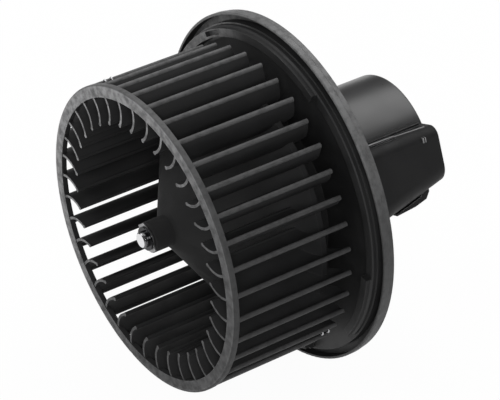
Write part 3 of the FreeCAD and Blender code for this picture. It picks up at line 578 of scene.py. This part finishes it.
@dataclass(frozen=True)
class MetalFinish:
    """A turned, drawn or plated metal."""

    name: str
    base: Colour
    dark: Colour
    roughness: Pair = (0.18, 0.36)
    ring_scale: float = 2600.0
    mark_height: float = 0.00003
    edge_radius: float = 0.0002
    coating: float = 0.0
    # A painted highlight: the light colour that end faces, square to the axis, take.
    end_face_highlight: Colour | None = None
    end_span: Pair = (0.86, 0.97)
    edge_gain: float = 1.3
    edge_lift: float = 0.05
    edge_amount: float = 0.6

    def build(self, effects: Effects) -> bpy.types.Material:
        """Makes the material.

        Args:
            effects: The shared node groups.

        Returns:
            The material.
        """
        material, nodes, shader = new_material(self.name)
        marks = effects.turned.place(nodes, {
            "Base Colour": self.base, "Dark Colour": self.dark, "Ring Scale": self.ring_scale,
            "Least Roughness": self.roughness[0], "Most Roughness": self.roughness[1]})
        edge = effects.edges.place(nodes, {"Radius": self.edge_radius})
        brighter = tuple(min(1.0, part * self.edge_gain + self.edge_lift) for part in self.base)
        colour = marks["Color"]
        # Painted highlight on the end faces.
        if self.end_face_highlight:
            facing = nodes.split(nodes.coordinates("Normal"))
            end = nodes.spread(nodes.maths("ABSOLUTE", facing["Y"]), *self.end_span)
            colour = nodes.mix(end, colour, self.end_face_highlight)
        edge_wear_and_highlight = nodes.maths("MULTIPLY", edge["Mask"], self.edge_amount)
        nodes.join(nodes.mix(edge_wear_and_highlight, colour, brighter), shader.inputs["Base Color"])
        nodes.join(marks["Roughness"], shader.inputs["Roughness"])
        nodes.join(bump(nodes, marks["Height"], self.mark_height, edge["Normal"]),
                   shader.inputs["Normal"])
        shader.inputs["Metallic"].default_value = 1.0 - self.coating
        return material


@dataclass(frozen=True)
class CopperFinish:
    """Enamelled copper wire laid in strands."""

    name: str
    wire: Colour
    gap: Colour
    strand_scale: float = 1500.0
    swirl_scale: float = 90.0
    swirl: float = 0.004
    relief: float = 0.0002
    strand_span: Pair = (0.15, 0.85)
    roughness: Pair = (0.3, 0.55)
    metallic: float = 0.7
    enamel: float = 0.4

    def build(self, effects: Effects) -> bpy.types.Material:
        """Makes the material.

        Args:
            effects: The shared node groups; not used.

        Returns:
            The material.
        """
        material, nodes, shader = new_material(self.name)
        place = nodes.coordinates()
        bent = nodes.add("ShaderNodeVectorMath", operation="ADD")
        nodes.join(place, bent.inputs[0])
        swirl = nodes.maths("MULTIPLY", nodes.noise(place, self.swirl_scale), self.swirl)
        nodes.join(swirl, bent.inputs[1])
        strands = nodes.add("ShaderNodeTexWave", bands_direction="DIAGONAL")
        nodes.join(bent.outputs[0], strands.inputs["Vector"])
        strands.inputs["Scale"].default_value = self.strand_scale
        depth = nodes.spread(strands.outputs["Fac"], *self.strand_span)
        smooth, rough = self.roughness
        nodes.join(nodes.mix(depth, self.gap, self.wire), shader.inputs["Base Color"])
        nodes.join(nodes.spread(depth, 0.0, 1.0, rough, smooth), shader.inputs["Roughness"])
        nodes.join(bump(nodes, strands.outputs["Fac"], self.relief), shader.inputs["Normal"])
        shader.inputs["Metallic"].default_value = self.metallic
        shader.inputs["Coat Weight"].default_value = self.enamel
        return material


@dataclass(frozen=True)
class FeltFinish:
    """Oil-soaked felt."""

    name: str
    fibre: Colour
    soaked: Colour
    fibre_scale: float = 2200.0
    patch_scale: float = 260.0
    patch_span: Pair = (0.4, 0.65)
    relief: float = 0.0004
    roughness: Pair = (0.7, 0.95)
    fuzz: float = 0.3

    def build(self, effects: Effects) -> bpy.types.Material:
        """Makes the material.

        Args:
            effects: The shared node groups; not used.

        Returns:
            The material.
        """
        material, nodes, shader = new_material(self.name)
        place = nodes.coordinates()
        fibres = nodes.noise(place, self.fibre_scale, detail=6.0, roughness=0.7)
        patches = nodes.spread(nodes.noise(place, self.patch_scale), *self.patch_span)
        smooth, rough = self.roughness
        nodes.join(nodes.mix(patches, self.fibre, self.soaked), shader.inputs["Base Color"])
        nodes.join(nodes.spread(patches, 0.0, 1.0, rough, smooth), shader.inputs["Roughness"])
        nodes.join(bump(nodes, fibres, self.relief), shader.inputs["Normal"])
        shader.inputs["Sheen Weight"].default_value = self.fuzz
        return material


Finish = PlasticFinish | MetalFinish | CopperFinish | FeltFinish


@dataclass(frozen=True)
class Finishes:
    """Every finish of the blower motor, by the piece that wears it."""

    # Fan: the rim and face colours are painted highlights on the outer ridges and front faces,
    # strongest towards the top, and the core is painted shade.
    fan: PlasticFinish = PlasticFinish(
        "fan_black_plastic",
        (0.0145, 0.0145, 0.0148), (0.0185, 0.0185, 0.019), (0.038, 0.038, 0.039),
        cloud_scale=70.0, cloud_amount=0.6, roughness=(0.64, 0.8), edge_radius=0.0003, edge_wear_and_highlight=0.3,
        shine=0.2, rim_radius=0.0731, rim_highlight_colour=(0.1, 0.1, 0.101), face_radius=0.052,
        face_highlight_colour=(0.25, 0.25, 0.253), rim_side=(140.0, -0.8, 0.28),
        face_side=(140.0, -0.8, 0.26), core_radius=0.046)
    # Flange: the rim and face colours are painted highlights on the lip and the collar's front
    # face, strongest towards the top, with polished a painted highlight on that face's edges.
    flange: PlasticFinish = PlasticFinish(
        "flange_black_plastic",
        (0.0105, 0.0105, 0.0108), (0.014, 0.014, 0.0143), (0.035, 0.035, 0.036),
        cloud_scale=45.0, roughness=(0.5, 0.64), edge_radius=0.0005, edge_wear_and_highlight=0.3, shine=0.3,
        rim_radius=0.0853, rim_highlight_colour=(0.14, 0.14, 0.141), face_radius=0.0745,
        face_highlight_colour=(0.13, 0.13, 0.131), face_edge_highlight=(0.2, 0.2, 0.2), rim_side=(85.0, 0.2, 0.28),
        face_side=(134.0, 0.82, 0.03))
    cover: PlasticFinish = PlasticFinish(
        "cover_black_plastic", (0.012, 0.012, 0.0124), (0.018, 0.018, 0.0184), (0.05, 0.05, 0.051),
        cloud_scale=38.0, roughness=(0.27, 0.33), grain_height=0.00002, edge_wear_and_highlight=0.3, shine=0.62)
    # Housing: the light-grey worn colour on its edges is a painted highlight, with some edge wear.
    housing: PlasticFinish = PlasticFinish(
        "housing_black_plastic",
        (0.0085, 0.0085, 0.0088), (0.013, 0.013, 0.0134), (0.24, 0.24, 0.242),
        cloud_scale=90.0, roughness=(0.48, 0.62), edge_radius=0.0004, edge_wear_and_highlight=0.8, shine=0.2)
    # Seam: a light grey that stands as a painted highlight on the seam rib and the catch edges.
    seam: PlasticFinish = PlasticFinish(
        "painted_seam_highlight", (0.3, 0.3, 0.303), (0.24, 0.24, 0.243), (0.35, 0.35, 0.35),
        cloud_scale=300.0, roughness=(0.3, 0.4))
    insulation: PlasticFinish = PlasticFinish(
        "brown_insulation", (0.19, 0.1, 0.045), (0.24, 0.14, 0.07), (0.35, 0.24, 0.14),
        roughness=(0.4, 0.55))
    washer: PlasticFinish = PlasticFinish(
        "natural_washer_plastic", (0.62, 0.58, 0.48), (0.5, 0.45, 0.36), (0.75, 0.72, 0.64),
        roughness=(0.35, 0.5))
    rubber: PlasticFinish = PlasticFinish(
        "soft_black_rubber", (0.018, 0.018, 0.018), (0.04, 0.039, 0.037), (0.07, 0.068, 0.065),
        cloud_scale=140.0, grain_height=0.0001, roughness=(0.65, 0.85), shine=0.35)
    carbon: PlasticFinish = PlasticFinish(
        "brush_carbon", (0.035, 0.035, 0.037), (0.09, 0.09, 0.092), (0.16, 0.16, 0.16),
        cloud_scale=500.0, grain_scale=3000.0, roughness=(0.45, 0.62))
    ferrite: PlasticFinish = PlasticFinish(
        "ground_ferrite", (0.055, 0.053, 0.055), (0.09, 0.088, 0.09), (0.17, 0.165, 0.17),
        cloud_scale=180.0, grain_scale=2600.0, roughness=(0.5, 0.66))
    bright_steel: MetalFinish = MetalFinish(
        "bright_turned_steel", (0.62, 0.62, 0.63), (0.42, 0.42, 0.43))
    spring_steel: MetalFinish = MetalFinish(
        "dull_spring_steel", (0.3, 0.3, 0.305), (0.2, 0.2, 0.2), (0.36, 0.5))
    # The shaft's light end colour is a painted highlight against its dark sides.
    shaft_steel: MetalFinish = MetalFinish(
        "ground_shaft_steel", (0.17, 0.17, 0.173), (0.09, 0.09, 0.092), (0.08, 0.16),
        end_face_highlight=(0.74, 0.74, 0.75))
    dark_steel: MetalFinish = MetalFinish(
        "phosphated_steel", (0.022, 0.022, 0.023), (0.014, 0.014, 0.0145), (0.14, 0.22))
    black_steel: MetalFinish = MetalFinish(
        "black_coated_steel", (0.035, 0.035, 0.037), (0.06, 0.058, 0.056), (0.34, 0.5), coating=0.5)
    laminations: MetalFinish = MetalFinish(
        "stacked_laminations", (0.33, 0.33, 0.35), (0.16, 0.155, 0.15), (0.35, 0.55),
        ring_scale=1400.0, mark_height=0.00012)
    bronze: MetalFinish = MetalFinish(
        "sintered_bronze", (0.55, 0.36, 0.16), (0.3, 0.19, 0.09), (0.35, 0.55), ring_scale=1800.0)
    tinned_brass: MetalFinish = MetalFinish(
        "tinned_brass", (0.6, 0.57, 0.5), (0.42, 0.38, 0.3), (0.25, 0.42))
    commutator_copper: MetalFinish = MetalFinish(
        "commutator_copper", (0.62, 0.3, 0.16), (0.22, 0.11, 0.07), (0.25, 0.45), ring_scale=3200.0)
    wire: CopperFinish = CopperFinish("enamelled_wire", (0.5, 0.2, 0.08), (0.08, 0.03, 0.012))
    felt: FeltFinish = FeltFinish("oiled_felt", (0.42, 0.38, 0.3), (0.2, 0.16, 0.1))


class Workshop:
    """Keeps the finished materials and puts them on nodes and pieces."""

    def __init__(self, finishes: Finishes) -> None:
        """Builds the shared effects.

        Args:
            finishes: The finishes of this part.
        """
        self.finishes = finishes
        self.effects = Effects()
        self.made: dict[str, bpy.types.Material] = {}

    def material(self, finish: Finish) -> bpy.types.Material:
        """Gives a finish's material, which is made on its first use.

        Args:
            finish: The finish to make.

        Returns:
            The material.
        """
        if finish.name not in self.made:
            self.made[finish.name] = finish.build(self.effects)
        return self.made[finish.name]

    def dress(self, finish: Finish, *nodes: str) -> None:
        """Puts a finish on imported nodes.

        Args:
            finish: The finish to wear.
            *nodes: The names of the nodes.
        """
        for name in nodes:
            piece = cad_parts[name]
            piece.data.materials.clear()
            piece.data.materials.append(self.material(finish))
            LOG.info("%s wears %s", name, finish.name)

    def add(self, name: str, mesh: bmesh.types.BMesh, finish: Finish, body: Body,
            slot: Slot) -> bpy.types.Object:
        """Adds a new piece that rides on a body.

        Args:
            name: The piece's name.
            mesh: Its shape, in the part's frame, in metres.
            finish: Its finish.
            body: The body that it rides on.
            slot: The record's slot for its finish; not used.

        Returns:
            The new piece.
        """
        data = bpy.data.meshes.new(name)
        mesh.to_mesh(data)
        mesh.free()
        for polygon in data.polygons:
            polygon.use_smooth = True
        piece = put_in_scene(name, data)
        data.materials.append(self.material(finish))
        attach(piece, body.value)
        LOG.info("%s rides on %s", name, body.value)
        return piece


def about_axis(radius: float, along: float, angle: float) -> Vector:
    """Gives the point at a radius, a place along the axis and an angle in degrees."""
    turn = math.radians(angle)
    return Vector((radius * math.cos(turn), along, radius * math.sin(turn)))


def wire_along(path: list[Vector], radius: float, sides: int = 8) -> bmesh.types.BMesh:
    """Lays a round wire along a path of points.

    Args:
        path: The points of its middle line.
        radius: The wire's radius.
        sides: How many flat sides stand for its round section.

    Returns:
        The wire's mesh.
    """
    mesh = bmesh.new()
    rows = []
    turns = [math.tau * i / sides for i in range(sides)]
    way = (path[1] - path[0]).normalized()
    sideways = way.orthogonal().normalized()
    for index, point in enumerate(path):
        before, after = path[max(index - 1, 0)], path[min(index + 1, len(path) - 1)]
        new_way = (after - before).normalized()
        sideways = (way.rotation_difference(new_way) @ sideways).normalized()
        way = new_way
        across = way.cross(sideways)
        spokes = [sideways * math.cos(turn) + across * math.sin(turn) for turn in turns]
        rows.append([mesh.verts.new(point + spoke * radius) for spoke in spokes])
    for row, next_row in zip(rows, rows[1:]):
        for i in range(sides):
            j = (i + 1) % sides
            mesh.faces.new((row[i], row[j], next_row[j], next_row[i]))
    mesh.faces.new(list(reversed(rows[0])))
    mesh.faces.new(rows[-1])
    bmesh.ops.recalc_face_normals(mesh, faces=mesh.faces)
    return mesh


@dataclass
class FanWheel:
    """The barrel fan wheel, its shaft clip and its balance clips."""

    ridge_radius: float = 0.0738
    hoop_radius: float = 0.0012
    hoop_spacing: float = 0.0034
    leg_length: float = 0.0026
    wire_radius: float = 0.0004
    hoop_steps: int = 10
    places: tuple[Pair, Pair] = ((-32.2, -0.0148), (123.5, -0.0635))

    def dress(self, shop: Workshop) -> None:
        """Dresses the wheel and what holds it.

        Args:
            shop: The workshop that keeps the finishes.
        """
        shop.dress(shop.finishes.fan, "fan_wheel")
        shop.dress(shop.finishes.shaft_steel, "motor_shaft")
        shop.dress(shop.finishes.spring_steel, "fan_clip")
        shop.dress(shop.finishes.dark_steel, "shaft_circlip")

    def build(self, shop: Workshop) -> None:
        """Adds the spring clips that balance the wheel.

        Args:
            shop: The workshop that makes the pieces.
        """
        for number, (angle, along) in enumerate(self.places, start=1):
            shop.add(f"balance_clip_{number}", self._clip(angle, along), shop.finishes.bright_steel,
                     Body.ROTOR, Slot.BRIGHT_STEEL)

    def _clip(self, angle: float, along: float) -> bmesh.types.BMesh:
        """Bends one spring wire into two hoops over a blade's outer ridge.

        Args:
            angle: The blade's place round the axis, in degrees.
            along: The clip's place along the axis.

        Returns:
            The clip's mesh.
        """
        out, side = about_axis(1.0, 0.0, angle), about_axis(1.0, 0.0, angle + 90.0)
        top = out * self.ridge_radius + Vector((0.0, along, 0.0))
        bends = [math.pi * i / self.hoop_steps for i in range(self.hoop_steps + 1)]
        hoop = [(-1.0, -self.leg_length)]
        hoop += [(-math.cos(bend), self.hoop_radius * math.sin(bend)) for bend in bends]
        hoop += [(1.0, -self.leg_length)]
        path = []
        for place, order in ((-0.5, hoop), (0.5, list(reversed(hoop)))):
            shift = Vector((0.0, place * self.hoop_spacing, 0.0))
            path += [top + side * (across * self.hoop_radius) + out * rise + shift
                     for across, rise in order]
        return wire_along(path, self.wire_radius)


@dataclass
class MountingFlange:
    """The flange with its collar, and the ring, screws and dampers that hold the motor in it."""

    def dress(self, shop: Workshop) -> None:
        """Dresses the flange, its fastenings and its dampers.

        Args:
            shop: The workshop that keeps the finishes.
        """
        shop.dress(shop.finishes.flange, "mounting_flange", "retaining_ring")
        shop.dress(shop.finishes.black_steel, "retaining_screws", "cover_screws")
        shop.dress(shop.finishes.rubber, "front_damper", "rear_damper")


@dataclass
class MotorCover:
    """The smooth cover and the connector housing on its side.

    A point of the seam is its distance out from the axis and its place along the axis, both in
    metres and measured on the housing's own top.
    """

    housing_angle: float = 22.0
    top_face: float = 0.0134
    step_face: float = 0.0142
    step_back: float = 0.047
    step_jog: float = 0.0018
    seam_start: Pair = (0.0364, 0.0085)
    seam_end: Pair = (0.041, 0.064)
    seam_radius: float = 0.0004
    catch_face: float = 0.0467
    catch_along: Pair = (0.0583, 0.0595)
    catch_height: Pair = (0.008, 0.0105)
    catch_edge_radius: float = 0.00025

    def dress(self, shop: Workshop) -> None:
        """Dresses the cover, the housing and the terminals.

        Args:
            shop: The workshop that keeps the finishes.
        """
        shop.dress(shop.finishes.cover, "motor_cover")
        shop.dress(shop.finishes.housing, "connector_housing")
        shop.dress(shop.finishes.tinned_brass, "positive_terminal", "negative_terminal")

    def build(self, shop: Workshop) -> None:
        """Adds a thin raised line along the housing's seam and lines on the edges of the catch for
        the plug, light grey as painted highlights.

        Args:
            shop: The workshop that makes the pieces.
        """
        (near, first), (far, last) = self.seam_start, self.seam_end
        middle = near + (far - near) * (self.step_back - first) / (last - first)
        path = [self._on_housing(near, first, self.step_face),
                self._on_housing(middle, self.step_back, self.step_face),
                self._on_housing(middle - self.step_jog, self.step_back + self.seam_radius,
                                 self.top_face),
                self._on_housing(far, last, self.top_face)]
        # A painted highlight along the seam rib.
        shop.add("housing_seam_highlight", wire_along(path, self.seam_radius), shop.finishes.seam,
                 Body.STATOR, Slot.HOUSING_PLASTIC)
        # Painted highlights on the catch's front and rear edges.
        for side, along in zip(("front", "rear"), self.catch_along):
            edge = [self._on_housing(self.catch_face, along, up) for up in self.catch_height]
            shop.add(f"{side}_catch_edge_highlight", wire_along(edge, self.catch_edge_radius),
                     shop.finishes.seam, Body.STATOR, Slot.HOUSING_PLASTIC)

    def _on_housing(self, out: float, along: float, up: float) -> Vector:
        """Gives the part's point for one that is measured square to the turned housing.

        Args:
            out: Its distance from the axis, away from the cover.
            along: Its place along the axis.
            up: Its height over the housing's middle plane.

        Returns:
            The point in the part's frame.
        """
        turn = math.radians(self.housing_angle)
        return Vector((out * math.cos(turn) - up * math.sin(turn), along,
                       out * math.sin(turn) + up * math.cos(turn)))


@dataclass
class Motor:
    """The brushed motor inside the cover.

    A spring's outer end, which stays where it is, lies at the lowest corner of the spring's box,
    numbered 0, or at its highest, numbered 1.
    """

    outer_ends: tuple[tuple[str, int], ...] = (("upper", 1), ("lower", 0))

    def dress(self, shop: Workshop) -> None:
        """Dresses every piece of the motor.

        Args:
            shop: The workshop that keeps the finishes.
        """
        worn = shop.finishes
        shop.dress(worn.black_steel, "motor_yoke")
        shop.dress(worn.ferrite, "right_magnet", "left_magnet")
        shop.dress(worn.bright_steel, "magnet_clips", "front_bearing_retainer",
                   "rear_bearing_retainer", "upper_brush_spring", "lower_brush_spring")
        shop.dress(worn.bronze, "front_bearing", "rear_bearing", "upper_brush_tube",
                   "lower_brush_tube")
        shop.dress(worn.felt, "front_felt_ring", "rear_felt_ring")
        shop.dress(worn.insulation, "rear_end_cap", "front_insulator", "rear_insulator")
        shop.dress(worn.washer, "front_thrust_washer", "rear_thrust_washer")
        shop.dress(worn.laminations, "armature_core")
        shop.dress(worn.wire, "armature_winding", "right_choke", "left_choke")
        shop.dress(worn.commutator_copper, "commutator")
        shop.dress(worn.carbon, "upper_brush", "lower_brush")

    def build(self, shop: Workshop) -> None:
        """Stands a coil in for each brush spring: a copy of the spring's shape that rides on the
        stator, while the spring itself is hidden.

        Args:
            shop: The workshop that makes the pieces.
        """
        for side, outer in self.outer_ends:
            node, joint = f"{side}_brush_spring", f"{side}_brush_slide"
            coil = bmesh.new()
            coil.from_mesh(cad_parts[node].data)
            spring = shop.add(f"{side}_spring_coil", coil, shop.finishes.bright_steel, Body.STATOR,
                              Slot.BRIGHT_STEEL)
            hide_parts(node)
            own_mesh(spring)


@dataclass(frozen=True)
class SoftBox:
    """One rectangular studio lamp that points at the part."""

    name: str
    place: Point
    size: Pair
    power: float
    aim: Point = (0.0, -0.01, 0.0)

    def build(self) -> None:
        """Adds the lamp to the scene."""
        data = bpy.data.lights.new(self.name, "AREA")
        data.shape = "RECTANGLE"
        data.size, data.size_y = self.size
        data.energy = self.power
        lamp = put_in_scene(self.name, data)
        lamp.location = self.place
        lamp.rotation_mode = "QUATERNION"
        way = Vector(self.aim) - Vector(self.place)
        lamp.rotation_quaternion = way.to_track_quat("-Z", "Y")


@dataclass
class Studio:
    """The floor, the world, the lamps and the camera."""

    camera_place: Point = (0.78096, -0.56385, 0.66419)
    azimuth: float = 54.795
    elevation: float = 34.874
    lens: float = 178.033
    sensor_width: float = 36.0
    seen_from_to: Pair = (0.05, 50.0)
    floor_drop: float = 0.0005
    floor_half: float = 8.0
    floor_cloud_scale: float = 3.0
    floor_cloud_span: Pair = (0.3, 0.7)
    floor_tone: Pair = (0.86, 0.88)
    floor_roughness: float = 0.9
    floor_glow: float = 0.96
    sky_span: Pair = (-0.1, 0.9)
    sky_light: Pair = (0.16, 0.32)
    lamps: tuple[SoftBox, ...] = (
        SoftBox("key_lamp", (-0.9, -1.2, 1.05), (0.9, 0.9), 12.0),
        SoftBox("top_lamp", (-0.4, 0.75, 1.3), (2.3, 0.8), 16.0, aim=(0.0, 0.035, 0.0)),
        SoftBox("fill_lamp", (0.98, -0.66, 0.72), (0.5, 0.5), 9.5))

    def build(self) -> None:
        """Builds the whole studio."""
        self._world()
        self._floor()
        for lamp in self.lamps:
            lamp.build()
        self._camera()
        bpy.context.scene.view_settings.view_transform = "Standard"

    def _world(self) -> None:
        """Makes a white background, with dimmer light from the world on the part."""
        world = bpy.data.worlds.new("studio")
        bpy.context.scene.world = world
        world.use_nodes = True
        nodes = NodeTree(world.node_tree)
        background = world.node_tree.nodes["Background"]
        path = nodes.add("ShaderNodeLightPath")
        height = nodes.split(nodes.coordinates("Generated"))["Z"]
        soft = nodes.spread(height, *self.sky_span, *self.sky_light)
        seen = nodes.maths("MAXIMUM", path.outputs["Is Camera Ray"],
                           path.outputs["Is Transmission Ray"])
        lift = nodes.maths("MULTIPLY", seen, nodes.maths("SUBTRACT", 1.0, soft))
        strength = nodes.maths("ADD", lift, soft)
        background.inputs["Color"].default_value = (1.0, 1.0, 1.0, 1.0)
        nodes.join(strength, background.inputs["Strength"])

    def _floor(self) -> None:
        """Lays a plain white floor just below the part."""
        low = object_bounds()[0].z - self.floor_drop
        mesh = bmesh.new()
        corners = [(-1, -1), (1, -1), (1, 1), (-1, 1)]
        mesh.faces.new([mesh.verts.new((x * self.floor_half, y * self.floor_half, low))
                        for x, y in corners])
        data = bpy.data.meshes.new("studio_floor")
        mesh.to_mesh(data)
        mesh.free()
        floor = put_in_scene("studio_floor", data)
        data.materials.append(self._floor_material())
        floor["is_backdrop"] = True

    def _floor_material(self) -> bpy.types.Material:
        """Makes the floor's white, which glows for the camera and keeps the part's shadow.

        Returns:
            The material.
        """
        material, nodes, shader = new_material("white_floor")
        clouds = nodes.noise(nodes.coordinates(), self.floor_cloud_scale)
        tone = nodes.spread(clouds, *self.floor_cloud_span, *self.floor_tone)
        joined = nodes.add("ShaderNodeCombineColor")
        for socket in joined.inputs[:3]:
            nodes.join(tone, socket)
        nodes.join(joined.outputs[0], shader.inputs["Base Color"])
        shader.inputs["Roughness"].default_value = self.floor_roughness
        shader.inputs["Specular IOR Level"].default_value = 0.0
        path = nodes.add("ShaderNodeLightPath")
        glow = nodes.add("ShaderNodeEmission")
        glow.inputs["Color"].default_value = (1.0, 1.0, 1.0, 1.0)
        glow.inputs["Strength"].default_value = 1.0
        mixed = nodes.add("ShaderNodeMixShader")
        seen = nodes.maths("MAXIMUM", path.outputs["Is Camera Ray"],
                           path.outputs["Is Glossy Ray"])
        nodes.join(nodes.maths("MULTIPLY", seen, self.floor_glow), mixed.inputs[0])
        nodes.join(shader.outputs[0], mixed.inputs[1])
        nodes.join(glow.outputs[0], mixed.inputs[2])
        surface = material.node_tree.nodes["Material Output"].inputs["Surface"]
        nodes.join(mixed.outputs[0], surface)
        return material

    def _camera(self) -> None:
        """Sets the camera up at the photograph's viewing angle."""
        data = bpy.data.cameras.new("photo_camera")
        data.lens = self.lens
        data.sensor_width = self.sensor_width
        data.clip_start, data.clip_end = self.seen_from_to
        camera = put_in_scene("photo_camera", data)
        camera.location = self.camera_place
        tilt = math.radians(90.0 - self.elevation)
        camera.rotation_euler = (tilt, 0.0, math.radians(self.azimuth))
        bpy.context.scene.camera = camera


def main() -> None:
    """Builds the studio and dresses the sub-assemblies in order."""
    logging.basicConfig(level=logging.INFO, format="%(message)s")
    Studio().build()
    shop = Workshop(Finishes())
    wheel = FanWheel()
    wheel.dress(shop)
    wheel.build(shop)
    MountingFlange().dress(shop)
    cover = MotorCover()
    cover.dress(shop)
    cover.build(shop)
    motor = Motor()
    motor.dress(shop)
    motor.build(shop)


if __name__ == "__main__":
    main()
